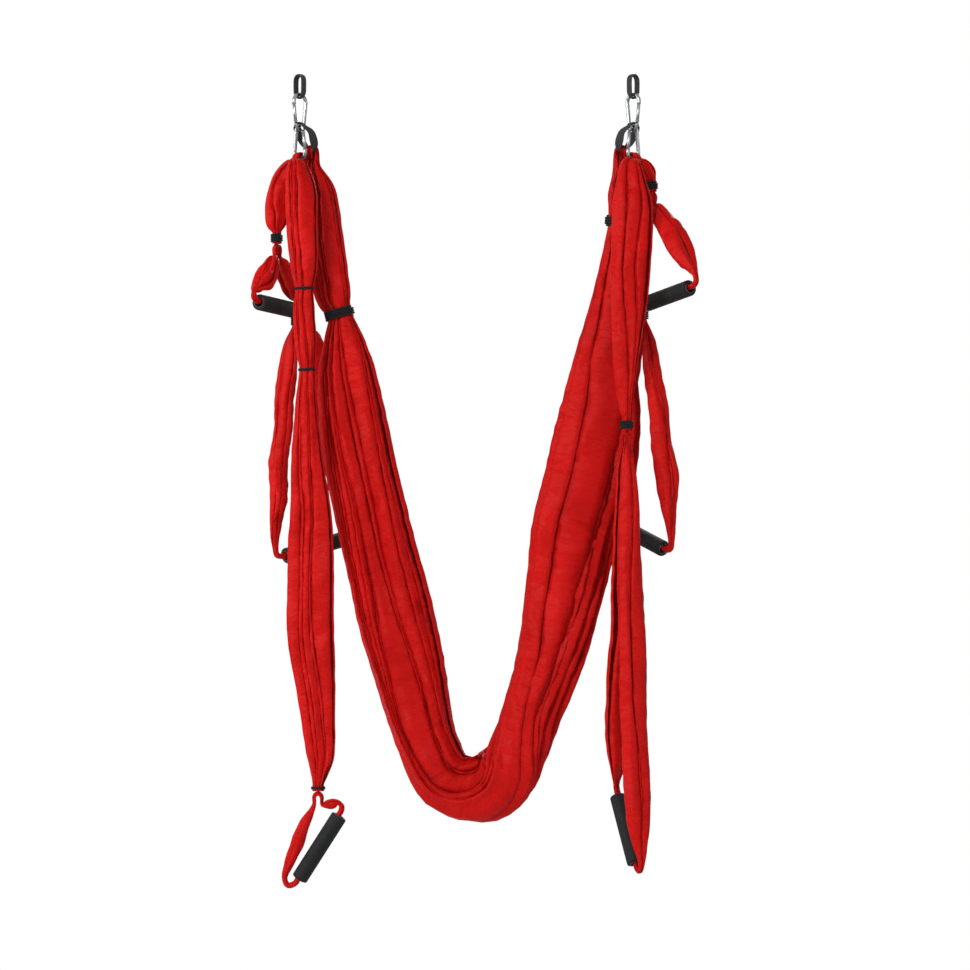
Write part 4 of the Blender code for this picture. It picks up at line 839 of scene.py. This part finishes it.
def loop_rows(top, sign, sizes, legs, full):
    """A hand loop's sections, its plane's level vector, its grip's middle and line, its lower inner corner."""
    yaw, tilt = math.radians(sizes["yaw"]), math.radians(sizes["tilt"])
    level = Vector((-sign * math.cos(yaw), math.sin(yaw), 0))
    normal = level.cross(UP)
    grip = level * math.cos(tilt) - UP * math.sin(tilt)
    middle = top + level * sizes["shift"] - UP * sizes["drop"]
    rise = (top - middle) - grip * (top - middle).dot(grip)
    rise.normalize()
    half = GRIP_LENGTH / 2 + TUBE_OVERHANG
    need = LOOP_BUNDLE / 2 + LOOP_CLEARANCE

    def leg(way):
        mouth = middle + grip * (half * way)
        outward = grip * way
        neck = top + level * (LOOP_ARCH_RADIUS * way) - UP * (LOOP_ARCH_RADIUS * NECK_LENGTH_SHARE)
        to_neck = (neck - mouth - outward * LOOP_LEAD).normalized()
        turn = math.atan2(to_neck.dot(rise), to_neck.dot(outward))
        spare = need - LOOP_LEAD * math.sin(turn) - FOAM_DIAMETER / 2 * math.cos(turn)
        bend = max(LOOP_BEND, LOOP_TURN_RUN / turn, spare / (1 - math.cos(turn)))

        def on_turn(share):
            angle = turn * share
            climb = bend * (1 - math.cos(angle))
            return mouth + outward * (LOOP_LEAD + bend * math.sin(angle)) + rise * climb

        run = on_turn(1) - neck
        bow = (run - run.dot(UP) * UP).normalized()
        made = []
        for degrees in (50, 90):
            angle = math.radians(degrees)
            place = top + level * (way * LOOP_ARCH_RADIUS * math.sin(angle))
            place -= UP * (LOOP_ARCH_RADIUS * (1 - math.cos(angle)))
            made.append((place, LOOP_ARCH_THICKNESS * full, LOOP_ARCH_DEPTH * full))
        made.append((neck, LOOP_ARCH_THICKNESS * full, LOOP_ARCH_DEPTH * full))
        for share, wide, deep, belly in legs[way > 0]:
            made.append((neck + run * share + bow * belly, wide, deep))
        for share in (1, 0.5, 0):
            made.append((on_turn(share), LOOP_BUNDLE, LOOP_BUNDLE))
        made.append((mouth, LOOP_BUNDLE, LOOP_BUNDLE))
        return made

    loop = [(top, LOOP_ARCH_THICKNESS * full, LOOP_ARCH_DEPTH * full)] + leg(1)
    loop += reversed(leg(-1))
    places = [Vector(place) for place, _, _ in loop]
    rows = []
    for i, (place, wide, deep) in enumerate(loop):
        heading = (places[(i + 1) % len(places)] - places[i - 1]).normalized()
        rows.append(row(place, wide, deep, heading.cross(normal)))
    seat = math.radians(LOOP_SEAT_DEG)
    out = half + LOOP_LEAD + LOOP_BEND * math.sin(seat)
    corner = middle + grip * out + rise * (LOOP_BEND * (1 - math.cos(seat)))
    flat = (TUBE_DIAMETER / 2 - TUBE_WALL) * math.cos(math.pi / GRIP_FACETS)
    return rows, level, middle - rise * (flat - LOOP_BUNDLE / 2 - TOUCH_GAP), grip, corner


# Round and wound pieces

WELD_DISTANCE = 1e-6


def grid_faces(grid, cyclic):
    """Quads of a skin whose corners' numbers are rings in rows; a cyclic one joins its two ends."""
    around = np.roll(grid, -1, axis=1)
    faces = np.stack([grid, around, np.roll(around, -1, axis=0), np.roll(grid, -1, axis=0)], axis=-1)
    return (faces if cyclic else faces[:-1]).reshape(-1, 4)


def turned(name, profile, middle, along, ring, look):
    """A closed profile of (radius, height) points turned about the line through middle."""
    profile = np.array(profile)
    angles = np.linspace(0, 2 * math.pi, ring, endpoint=False)
    flat = np.stack([np.outer(np.cos(angles), profile[:, 0]), np.outer(np.sin(angles), profile[:, 0]),
                     np.tile(profile[:, 1], (ring, 1))], axis=-1)
    vertices = flat.reshape(-1, 3) @ np.array(along.to_track_quat("Z", "Y").to_matrix()).T + np.array(middle)
    reach = np.concatenate([[0], np.cumsum(np.linalg.norm(np.diff(profile, axis=0), axis=1))])
    uv = np.stack([np.repeat(angles * FOAM_DIAMETER / 2, len(profile)), np.tile(reach, ring)], axis=-1)
    piece = mesh_piece(name, vertices, grid_faces(np.arange(len(vertices)).reshape(ring, -1), True), uv, look)
    outward_faces(piece)
    return piece


def outward_faces(piece):
    maker = bmesh.new()
    maker.from_mesh(piece.data)
    bmesh.ops.remove_doubles(maker, verts=maker.verts, dist=WELD_DISTANCE)
    bmesh.ops.recalc_face_normals(maker, faces=maker.faces)
    maker.to_mesh(piece.data)
    maker.free()


def swept(name, places, widths, depths, sides, ring, look, cyclic, power=2.0):
    """A smooth skin through rounded sections along places, with caps at open ends."""
    places = np.array(places, dtype=float)
    count = len(places)
    even = np.column_stack([places, widths, depths, np.array(sides, dtype=float)])
    _, side, across = section_axes(even, cyclic)
    angles = np.linspace(0, 2 * math.pi, ring, endpoint=False)
    u, v = (np.sign(wave) * np.abs(wave) ** (2 / power) for wave in (np.cos(angles), np.sin(angles)))
    vertices = (places[:, None] + (widths / 2)[:, None, None] * u[None, :, None] * side[:, None]
                + (depths / 2)[:, None, None] * v[None, :, None] * across[:, None]).reshape(-1, 3)
    grid = np.arange(count * ring).reshape(count, ring)
    steps = np.linalg.norm(np.diff(places, axis=0), axis=1)
    reach = np.concatenate([[0], np.cumsum(steps)])
    around_reach = np.linspace(0, math.pi * (widths.mean() + depths.mean()) / 2, ring, endpoint=False)
    uv = np.stack([np.tile(around_reach, count), np.repeat(reach, ring)], axis=-1)
    piece = mesh_piece(name, vertices, grid_faces(grid, cyclic), uv, look)
    if not cyclic:
        maker = bmesh.new()
        maker.from_mesh(piece.data)
        maker.verts.ensure_lookup_table()
        for rim in (grid[0], grid[-1]):
            maker.faces.new([maker.verts[int(k)] for k in rim])
        maker.to_mesh(piece.data)
        maker.free()
    outward_faces(piece)
    return piece


def carabiner_frame():
    """Radii of the two bows, the broad one's height and the gate's lean, in the carabiner's own plane."""
    narrow = (CARABINER_NARROW - CARABINER_STOCK) / 2
    broad = (CARABINER_BROAD - CARABINER_STOCK) / 2
    rise = BAR_TO_BAR - broad
    return narrow, broad, rise, math.asin((broad - narrow) / (rise - narrow))


def gate_line(distance):
    """A point on the gate's centre line, that far up from the narrow bow."""
    narrow, _, _, lean = carabiner_frame()
    start = Vector((narrow * math.cos(lean), 0, narrow - narrow * math.sin(lean)))
    return start + Vector((math.sin(lean), 0, math.cos(lean))) * distance


def planar_bar(name, points, widths, depths, place):
    """A smooth steel bar through points of the carabiner's own plane, put in its place."""
    places, sides = [], []
    for i, point in enumerate(points):
        heading = points[min(i + 1, len(points) - 1)] - points[max(i - 1, 0)]
        places.append(place @ point)
        sides.append(place.to_3x3() @ heading.cross(Vector((0, 1, 0))).normalized())
    return swept(name, places, np.array(widths), np.array(depths), sides, BAR_RING, STEEL, False)


def carabiner_bar():
    """Points, widths and depths of the bar: the flat tongue at the gate's hinge, both bows and the nose."""
    narrow, broad, rise, lean = carabiner_frame()
    lean_degrees = math.degrees(lean)
    tongue_end = HINGE_SHOULDER + HINGE_RISE + TONGUE_END
    points, widths, depths = [], [], []
    for distance, share, depth in ((tongue_end, TONGUE_TIP_SHARE, TONGUE_THICKNESS * TONGUE_TIP_SHARE),
                                   (tongue_end - BAR_CHAMFER, 1, TONGUE_THICKNESS),
                                   (HINGE_SHOULDER + BAR_CHAMFER, 1, TONGUE_THICKNESS),
                                   (HINGE_SHOULDER, 1, CARABINER_STOCK)):
        points.append(gate_line(distance))
        widths.append(CARABINER_STOCK * share)
        depths.append(depth)
    for radius, height, first, last in ((narrow, narrow, -lean_degrees, -180 + lean_degrees),
                                        (broad, rise, 180 + lean_degrees, -lean_degrees)):
        for angle in np.radians(np.linspace(first, last, BOW_POINTS)):
            points.append(Vector((radius * math.cos(angle), 0, height + radius * math.sin(angle))))
    nose = (rise - narrow) * math.cos(lean) - NOSE_LENGTH
    points += [gate_line(nose + BAR_CHAMFER), gate_line(nose)]
    rest = [CARABINER_STOCK] * (len(points) - len(widths) - 1) + [CARABINER_STOCK - 2 * BAR_CHAMFER]
    return points, widths + rest, depths + rest, nose


def carabiner(side, level, bar_z, plane, flipped):
    """One snap carabiner with its sprung gate and the gate's pin, the narrow bow's bar at bar_z."""
    up = -UP if flipped else UP
    place = Matrix((plane, up.cross(plane), up)).transposed().to_4x4()
    place.translation = Vector((HALF_SPAN if side == "right" else -HALF_SPAN, 0, bar_z))
    points, widths, depths, nose = carabiner_bar()
    body = planar_bar(f"{level}_carabiner_bar_{side}", points, widths, depths, place)
    settle(body, "hammock", "steel", f"{level}_carabiner_{side}")
    hinge = HINGE_SHOULDER + HINGE_RISE
    start, end = hinge - GATE_HEEL, nose - NOSE_GAP
    points = [gate_line(distance) for distance in (start, start + BAR_CHAMFER, end - BAR_CHAMFER, end)]
    widths = [GATE_DIAMETER - 2 * BAR_CHAMFER, GATE_DIAMETER, GATE_DIAMETER, GATE_DIAMETER - 2 * BAR_CHAMFER]
    gate = planar_bar(f"{level}_gate_bar_{side}", points, widths, widths, place)
    settle(gate, f"{level}_gate_{side}", "steel", f"{level}_gate_{side}")
    head, shank = PIN_HEAD_DIAMETER / 2, PIN_DIAMETER / 2
    half = GATE_DIAMETER / 2 + TOUCH_GAP + PIN_HEAD_LENGTH
    profile = [(0, half), (head, half - PIN_HEAD_LENGTH / 2), (head, half - PIN_HEAD_LENGTH),
               (shank, half - PIN_HEAD_LENGTH)]
    profile += [(radius, -height) for radius, height in reversed(profile)]
    pin = turned(f"{level}_gate_pin_{side}", profile, place @ gate_line(hinge),
                 place.to_3x3() @ Vector((0, 1, 0)), BAR_RING, STEEL)
    settle(pin, "hammock", "steel", f"{level}_carabiner_{side}_pin")


def mirrored_rows(rows, middle, across):
    """The rows between the first and the last, mirrored over the plane square to across, in reverse."""
    made = []
    for one in reversed(rows[1:-1]):
        place = Vector(one[:3])
        place -= across * (2 * (place - middle).dot(across))
        made.append(row(place, one[3], one[4], one[5:8]))
    return made


def hanger_rows(sign):
    """The webbing hanger loop's sections: flat tape at the top, drawn round where the carabiner hangs."""
    inward, square = side_axes(sign)
    top = Vector((sign * HALF_SPAN, 0, 0))
    half = HANGER_EYE_WIDTH / 2 + HANGER_THICKNESS / 2
    bottom = -HANGER_EYE - HANGER_BIGHT / 2
    rows = []
    for degrees in (90, 70, 50, 30, 10):
        angle = math.radians(degrees)
        place = top + square * (half * math.cos(angle)) + UP * (half * (math.sin(angle) - 1))
        rows.append(row(place + UP * (HANGER_THICKNESS / 2), HANGER_WIDTH, HANGER_THICKNESS, inward))
    rows.append(row(top + square * half + UP * ((bottom - half) / 2), HANGER_WIDTH, HANGER_THICKNESS, inward))
    bight = half - TOUCH_GAP
    for degrees in (0, -30, -60):
        angle = math.radians(degrees)
        place = top + square * (bight * math.cos(angle)) + UP * (bottom + bight * (math.sin(angle) + 1))
        share = -degrees / 90
        width = HANGER_WIDTH + (HANGER_BIGHT_SHOWN - HANGER_WIDTH) * share
        depth = HANGER_THICKNESS + (HANGER_BIGHT_SHOWN - HANGER_THICKNESS) * share
        rows.append(row(place, width, depth, inward))
    rows.append(row(top + UP * bottom, HANGER_BIGHT_SHOWN, HANGER_BIGHT_SHOWN, inward))
    return rows + mirrored_rows(rows, top, square)


def sling_rows(sign):
    """The webbing sling's sections: over the lower carabiner's top bow, down both sides, round the cloth."""
    inward, square = side_axes(sign)
    narrow = (CARABINER_NARROW - CARABINER_STOCK) / 2
    hug = narrow + BAR_RADIUS + TOUCH_GAP + SLING_THICKNESS / 2
    centre = Vector((sign * HALF_SPAN, 0, LOWER_TOP_Z - narrow))
    drop = centre.z + hug - SLING_BOTTOM_Z
    top = centre + UP * hug
    rows = []
    for degrees, reach_share in ((90, 0.0), (74, 0.0), (58, 0.0), (42, 0.01), (26, 0.03)):
        angle = math.radians(degrees)
        place = centre + square * (hug * math.cos(angle)) + UP * (hug * math.sin(angle))
        place += inward * (SLING_REACH * reach_share)
        rows.append(row(place, SLING_NECK_WIDTH, SLING_THICKNESS, inward))
    for down_share, spread_share, reach_share, width_share in SLING_SHARES:
        place = top - UP * (drop * down_share) + square * (SLING_SPREAD * spread_share)
        place += inward * (SLING_REACH * reach_share)
        rows.append(row(place, SLING_WIDTH * width_share, SLING_THICKNESS, inward))
    rows.append(row(top - UP * drop + inward * SLING_REACH, SLING_BIGHT_WIDTH, SLING_THICKNESS, inward))
    return rows + mirrored_rows(rows, top, square)


def webbing_piece(name, rows):
    """Closed flat tape with soft edges through the rows."""
    fine = spline(rows, WEBBING_STEPS, True)
    return swept(name, fine[:, :3], fine[:, 3], fine[:, 4], fine[:, 5:8], WEBBING_RING, WEBBING, True,
                 WEBBING_POWER)


def wound_cord_tree():
    """Geometry Nodes that lay one unbroken cord round a bundle's oval, turn beside turn."""
    tree = bpy.data.node_groups.new("wound_cord", "GeometryNodeTree")
    names = {}
    for label, kind in (("Turns", "Float"), ("Reach across", "Float"), ("Reach deep", "Float"),
                        ("Pitch", "Float"), ("Cord radius", "Float"), ("Points", "Int"),
                        ("Finish", "Material")):
        socket = tree.interface.new_socket(label, in_out="INPUT", socket_type="NodeSocket" + kind)
        names[label] = socket.identifier
    tree.interface.new_socket("Geometry", in_out="OUTPUT", socket_type="NodeSocketGeometry")
    given = tree.nodes.new("NodeGroupInput").outputs

    def maths(operation, *values):
        node = add_node(tree, "ShaderNodeMath", operation=operation)
        for socket, value in zip(node.inputs, values):
            if isinstance(value, (int, float)):
                socket.default_value = value
            else:
                tree.links.new(value, socket)
        return node.outputs[0]

    index = tree.nodes.new("GeometryNodeInputIndex").outputs[0]
    share = maths("DIVIDE", index, maths("SUBTRACT", given["Points"], 1.0))
    angle = maths("MULTIPLY", maths("MULTIPLY", share, given["Turns"]), 2 * math.pi)
    # The two ends dive under the first and the last turn
    from_end = maths("MULTIPLY", maths("MINIMUM", share, maths("SUBTRACT", 1.0, share)), CORD_DIVE_RATE)
    dive = maths("MULTIPLY", maths("SUBTRACT", 1.0, maths("MINIMUM", from_end, 1.0)),
                 maths("MULTIPLY", given["Cord radius"], CORD_DIVE_RADII))
    across = maths("MULTIPLY", maths("COSINE", angle), maths("SUBTRACT", given["Reach across"], dive))
    deep = maths("MULTIPLY", maths("SINE", angle), maths("SUBTRACT", given["Reach deep"], dive))
    from_middle = maths("MULTIPLY", maths("SUBTRACT", share, 0.5), given["Turns"])
    climb = maths("MULTIPLY", from_middle, given["Pitch"])
    place = add_node(tree, "ShaderNodeCombineXYZ", {"X": across, "Y": deep, "Z": climb})
    line = add_node(tree, "GeometryNodeMeshLine", {"Count": given["Points"]})
    move = add_node(tree, "GeometryNodeSetPosition", {"Geometry": line.outputs["Mesh"],
                                                      "Position": place.outputs[0]})
    curve = add_node(tree, "GeometryNodeMeshToCurve", {"Mesh": move.outputs["Geometry"]})
    circle = add_node(tree, "GeometryNodeCurvePrimitiveCircle", {"Radius": given["Cord radius"]},
                      Resolution=CORD_RING)
    tube = add_node(tree, "GeometryNodeCurveToMesh", {"Curve": curve.outputs["Curve"],
                                                      "Profile Curve": circle.outputs["Curve"]})
    tube.inputs["Fill Caps"].default_value = True
    real = add_node(tree, "GeometryNodeRealizeInstances", {"Geometry": tube.outputs["Mesh"]})
    finish = add_node(tree, "GeometryNodeSetMaterial", {"Geometry": real.outputs["Geometry"],
                                                        "Material": given["Finish"]})
    add_node(tree, "NodeGroupOutput", {"Geometry": finish.outputs["Geometry"]})
    return tree, names


CORD_TREE, CORD_SOCKETS = wound_cord_tree()


def winding(name, middle, axis, side, width, depth, turns, diameter):
    """One cord wound round a gathered bundle, made by the cord's nodes and then kept as a plain mesh."""
    axis = axis.normalized()
    side = (side - axis * side.dot(axis)).normalized()
    guide = placed(name + "_guide", bpy.data.meshes.new(name + "_guide"))
    modifier = guide.modifiers.new("cord", "NODES")
    modifier.node_group = CORD_TREE
    for label, value in (("Turns", float(turns)), ("Reach across", width / 2 + diameter / 2),
                         ("Reach deep", depth / 2 + diameter / 2), ("Pitch", diameter * CORD_PITCH_SHARE),
                         ("Cord radius", diameter / 2), ("Points", CORD_POINTS * turns + 1),
                         ("Finish", CORD)):
        modifier[CORD_SOCKETS[label]] = value
    mesh = bpy.data.meshes.new_from_object(guide.evaluated_get(bpy.context.evaluated_depsgraph_get()))
    bpy.data.objects.remove(guide, do_unlink=True)
    mesh.name = name
    place = Matrix((side, axis.cross(side), axis)).transposed().to_4x4()
    place.translation = middle
    mesh.transform(place)
    piece = placed(name, mesh)
    outward_faces(piece)
    cord_map(mesh, diameter)
    mesh.polygons.foreach_set("use_smooth", np.full(len(mesh.polygons), True))
    return piece


def cord_map(mesh, diameter):
    """A UV map round and along the cord, from the order in which its rings were made."""
    layer = mesh.uv_layers.new(name="UVMap")
    pitch = math.pi * diameter / CORD_RING
    for polygon in mesh.polygons:
        if len(polygon.vertices) > 4:
            continue
        spots = [divmod(corner, CORD_RING) for corner in polygon.vertices]
        wrap = max(k for _, k in spots) - min(k for _, k in spots) > 1
        for loop_index, (i, k) in zip(polygon.loop_indices, spots):
            layer.data[loop_index].uv = ((k + CORD_RING if wrap and k == 0 else k) * pitch, i * pitch)


# Place every piece

ACROSS = Vector((1, 0, 0))


def settle(piece, body, slot, *nodes):
    """The piece rides on a body and stands for CAD nodes, which it hides; the slot is not used."""
    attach(piece, body)
    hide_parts(*nodes)


def band(name, at, width, depth, turns, diameter, body):
    """A cord winding above a strap's gathered end; a band has one turn more than its packed rings."""
    rise = turns * (diameter + CORD_TURN_GAP) / 2 + diameter
    shown = turns + 1 if turns > TIE_TURNS else turns
    made = winding(name + "_cord", at + UP * rise, UP, ACROSS, width, depth, shown, diameter)
    settle(made, body, "cord", name)


def grip(kind, side, middle, along):
    """A foam sleeve with rounded ends and the thin tube inside it."""
    body = f"{kind}_grip_{side}"
    half, outer = GRIP_LENGTH / 2, FOAM_DIAMETER / 2 - FOAM_ROUNDING
    inner = TUBE_DIAMETER / 2 + TOUCH_GAP
    profile = [(inner, half), (inner, -half)]
    for way, first, last in ((-1, -90, 0), (1, 0, 90)):
        for angle in np.radians(np.linspace(first, last, FOAM_EDGE_POINTS)):
            profile.append((outer + FOAM_ROUNDING * math.cos(angle),
                            way * (half - FOAM_ROUNDING) + FOAM_ROUNDING * math.sin(angle)))
    foam = turned(f"{kind}_foam_sleeve_{side}", profile, middle, along, FOAM_RING, FOAM)
    settle(foam, body, "foam", f"{kind}_grip_{side}_foam")
    wall, over, soft = TUBE_DIAMETER / 2, half + TUBE_OVERHANG, TUBE_WALL / 3
    bore = wall - TUBE_WALL
    profile = [(bore, over - soft), (bore, soft - over), (bore + soft, -over), (wall - soft, -over),
               (wall, soft - over), (wall, over - soft), (wall - soft, over), (bore + soft, over)]
    tube = turned(f"{kind}_inner_tube_{side}", profile, middle, along, TUBE_RING, PLASTIC)
    settle(tube, body, "tube", f"{kind}_grip_{side}_tube")


def hand_loop(kind, side, sign, top):
    """A loop of gathered cloth through its foam grip; returns its level vector and its lower inner corner."""
    sizes = LOOPS[(kind, side)]
    rows, level, middle, along, corner = loop_rows(top, sign, sizes, LEGS[(kind, side)],
                                                   SHORT_LOOP_ARCH if kind == "short" else 1.0)
    piece = pleated(f"{kind}_loop_cloth_{side}", rows, LOOP_FOLDS, sizes["seed"], sections=LOOP_SECTIONS,
                    cyclic=True)
    settle(piece, f"{kind}_loop_{side}", "cloth", f"{kind}_loop_{side}")
    grip(kind, side, middle, along)
    return level, corner


def outer_strap(side, sign):
    """The strap behind, its band, and the short and medium loops that hang from it."""
    sizes = OUTER[side]
    radius = BAR_RADIUS + STRAP_SEAT_GAP + STRAP_NECK_DEPTH / 2
    rows = hung_rows(sign, radius, sign * sizes["reach"], -OUTER_SETBACK, sizes["drop"], OUTER_SHARES[side],
                     sizes["end"], STRAP_GATHER)
    piece = pleated(f"outer_strap_cloth_{side}", rows, OUTER_FOLDS, sizes["seed"])
    settle(piece, "hammock", "cloth", f"outer_strap_{side}")
    end = Vector(rows[-1][:3])
    band(f"outer_band_{side}", end, *sizes["end"], BAND_TURNS, CORD_DIAMETER, "hammock")
    top = end - UP * (TOUCH_GAP + LOOP_ARCH_THICKNESS / 2)
    _, corner = hand_loop("short", side, sign, top)
    top = corner - UP * ((LOOP_BUNDLE + LOOP_ARCH_THICKNESS) / 2 + TOUCH_GAP)
    level, _ = hand_loop("medium", side, sign, top)
    neck = top - UP * (LOOP_ARCH_RADIUS * NECK_DROP_SHARE)
    neck_width = 2 * LOOP_ARCH_RADIUS + LOOP_ARCH_THICKNESS + 2 * BAND_CLEARANCE
    tied = winding(f"junction_band_{side}_cord", neck, UP, level, neck_width, JUNCTION_DEPTH, JUNCTION_TURNS,
                   CORD_DIAMETER)
    settle(tied, f"medium_loop_{side}", "cord", f"junction_band_{side}")


def left_ties(end, sizes):
    """The two thin cord ties on the upper left front strap."""
    band("middle_tie_left", end, *sizes["end"], TIE_TURNS, TIE_DIAMETER, "hammock")
    across, _, down, width, depth = next(r for r in LONG_SHARES["left"] if r[2] == TIE_UPPER_SHARE)
    place = Vector((sizes["shift"] * across - HALF_SPAN, -FRONT_OFFSET,
                    LOWER_BOTTOM_Z - sizes["drop"] * down))
    tie = winding("upper_tie_left_cord", place, UP, ACROSS, STRAP_WIDTH * width, STRAP_DEPTH * depth,
                  TIE_TURNS, TIE_DIAMETER)
    settle(tie, "hammock", "cord", "upper_tie_left")


def front_strap(side, sign):
    """The strap in front and the long loop below it; the left one is one cloth that runs on through its middle
    tie.
    """
    sizes = LONG[side]
    radius = BAR_RADIUS + 2 * STRAP_SEAT_GAP + STRAP_NECK_DEPTH * 1.5
    rows = hung_rows(sign, radius, -sign * sizes["shift"], FRONT_OFFSET, sizes["drop"], LONG_SHARES[side],
                     sizes["end"], sizes["gather"])
    end = Vector(rows[-1][:3])
    if side == "left":
        left_ties(end, sizes)
        hinge = end - UP * (TOUCH_GAP + sizes["end"][1] / 2)
        rows += strap_rows(hinge, LOWER_SHIFT, 0, LOWER_DROP, LOWER_SHARES)
        rows += gathered_end(hinge, LOWER_SHIFT, 0, LOWER_DROP, TIE_GATHER, LOWER_END)
        end = Vector(rows[-1][:3])
        piece = pleated("long_strap_cloth_left", rows, LONG_FOLDS, sizes["seed"])
        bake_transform(piece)
        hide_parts("long_strap_left", "long_strap_lower_left")
        band("lower_tie_left", end, *LOWER_END, TIE_TURNS, TIE_DIAMETER, "long_strap_lower_left")
    else:
        band("long_band_right", end, *sizes["end"], BAND_TURNS, CORD_DIAMETER, "hammock")
        piece = pleated("long_strap_cloth_right", rows, LONG_FOLDS, sizes["seed"])
        settle(piece, "hammock", "cloth", "long_strap_right")
    hand_loop("long", side, sign, end - UP * (TOUCH_GAP + LOOP_ARCH_THICKNESS / 2))


def cloth_band(side, down_share, width, depth):
    """The cord winding at one neck of the main cloth, square to the cloth's own run there."""
    places = {shares[1]: cloth_place(shares) for shares in CLOTH_SHARES
              if (shares[0] < 0) == (side == "left")}
    drops = sorted(places)
    index = drops.index(down_share)
    heading = (places[drops[index + 1]] - places[drops[index - 1]]).normalized()
    if side == "right":
        heading = -heading
    level = Vector((-heading.z, 0, heading.x))
    piece = winding(f"cloth_band_{side}_cord", places[down_share], heading, level,
                    CLOTH_WIDTH * width + BAND_SLACK, CLOTH_DEPTH * depth + BAND_SLACK, CLOTH_BAND_TURNS,
                    CLOTH_BAND_CORD)
    settle(piece, "hammock", "cord", f"cloth_band_{side}")


for side, sign in SIDES:
    hanger = webbing_piece(f"hanger_webbing_{side}", hanger_rows(sign))
    settle(hanger, "hangers", "webbing", f"hanger_loop_{side}")
    sling = webbing_piece(f"sling_webbing_{side}", sling_rows(sign))
    settle(sling, "hammock", "webbing", f"cloth_sling_{side}")
    inward, square = side_axes(sign)
    carabiner(side, "upper", UPPER_BOTTOM_Z, -inward, False)
    carabiner(side, "lower", LOWER_TOP_Z, -square, True)

main = pleated("gathered_cloth", main_rows(), MAIN_FOLDS, MAIN_SEED, MAIN_SHEET, MAIN_SECTIONS, MAIN_CRUMPLE,
               MAIN_BREADTH, group=3, twist=bend_twist)
settle(main, "hammock", "cloth", "hammock_cloth")

for side, sign in SIDES:
    outer_strap(side, sign)
    front_strap(side, sign)

for row_of_band in CLOTH_BANDS:
    cloth_band(*row_of_band)


# Camera, floor and light

camera_data = bpy.data.cameras.new("camera")
camera_data.sensor_width = SENSOR_WIDTH
camera_data.lens = SENSOR_WIDTH * VIEW_DISTANCE / VIEW_WIDTH
camera_data.clip_end = 60
camera = placed("camera", camera_data)
camera.location = (VIEW_CENTRE[0], -VIEW_DISTANCE, VIEW_CENTRE[1])
camera.rotation_euler = (math.radians(90), 0, 0)
bpy.context.scene.camera = camera

FLOOR_Z = -1.80
FLOOR_HALF = 14.0
# Where the floor, with the shadow on it, begins and ends its fade to plain white
FADE_START, FADE_END = 0.55, 1.05
WORLD_LIGHT = 0.20
WORLD_SEEN = 1.0
# The middle of the hammock, and each lamp's place, width and power
MIDDLE = Vector((0.0, 0.0, -0.75))
LAMPS = {
    "key": ((-1.9, -3.9, 1.2), 1.2, 138),
    "side": ((-3.9, -0.9, 0.4), 1.2, 78),
    "fill": ((3.0, -3.4, -0.2), 2.2, 40),
    "back": ((0.6, 3.2, 1.4), 2.0, 60),
}


def floor_material():
    """Near-white floor that keeps its shadow under the hammock and turns plain white further out."""
    made, tree = new_material("studio_floor")
    shader = tree.nodes["Principled BSDF"]
    for key, value in (("Base Color", (0.86, 0.86, 0.86, 1)), ("Roughness", 0.9),
                       ("Specular IOR Level", 0.1)):
        shader.inputs[key].default_value = value
    flat = add_node(tree, "ShaderNodeMapping", {"Vector": coordinates(tree, "Object")}, Scale=(1, 1, 0))
    length = add_node(tree, "ShaderNodeVectorMath", {0: flat.outputs["Vector"]}, operation="LENGTH")
    fade = spread_to(tree, length.outputs["Value"], FADE_START, FADE_END, 0.0, 1.0)
    seen = tree.nodes.new("ShaderNodeLightPath").outputs["Is Camera Ray"]
    white = add_node(tree, "ShaderNodeEmission", Strength=1.0)
    mix = add_node(tree, "ShaderNodeMixShader", {0: multiplied(tree, fade, seen), 1: shader.outputs["BSDF"],
                                                 2: white.outputs["Emission"]})
    tree.links.new(mix.outputs["Shader"], tree.nodes["Material Output"].inputs["Surface"])
    return made


floor_mesh = bpy.data.meshes.new("floor")
floor_mesh.from_pydata([(x, y, FLOOR_Z) for x, y in ((-FLOOR_HALF, -FLOOR_HALF), (FLOOR_HALF, -FLOOR_HALF),
                                                     (FLOOR_HALF, FLOOR_HALF), (-FLOOR_HALF, FLOOR_HALF))],
                       [], [(0, 1, 2, 3)])
floor_mesh.materials.append(floor_material())
placed("floor", floor_mesh)

world = bpy.data.worlds.new("studio")
bpy.context.scene.world = world
world.use_nodes = True
sky = world.node_tree
rays = sky.nodes.new("ShaderNodeLightPath").outputs
seen_or_mirrored = add_node(sky, "ShaderNodeMath", {0: rays["Is Camera Ray"], 1: rays["Is Glossy Ray"]},
                            operation="MAXIMUM")
backdrop = sky.nodes["Background"]
backdrop.inputs["Color"].default_value = (1, 1, 1, 1)
sky.links.new(spread_to(sky, seen_or_mirrored.outputs["Value"], 0, 1, WORLD_LIGHT, WORLD_SEEN),
              backdrop.inputs["Strength"])

for name, (place, size, power) in LAMPS.items():
    data = bpy.data.lights.new(name, "AREA")
    data.shape = "DISK"
    data.size = size
    data.energy = power
    lamp = placed(name, data)
    lamp.location = place
    lamp.rotation_euler = (MIDDLE - Vector(place)).to_track_quat("-Z", "Y").to_euler()
bpy.context.scene.view_settings.view_transform = "Standard"
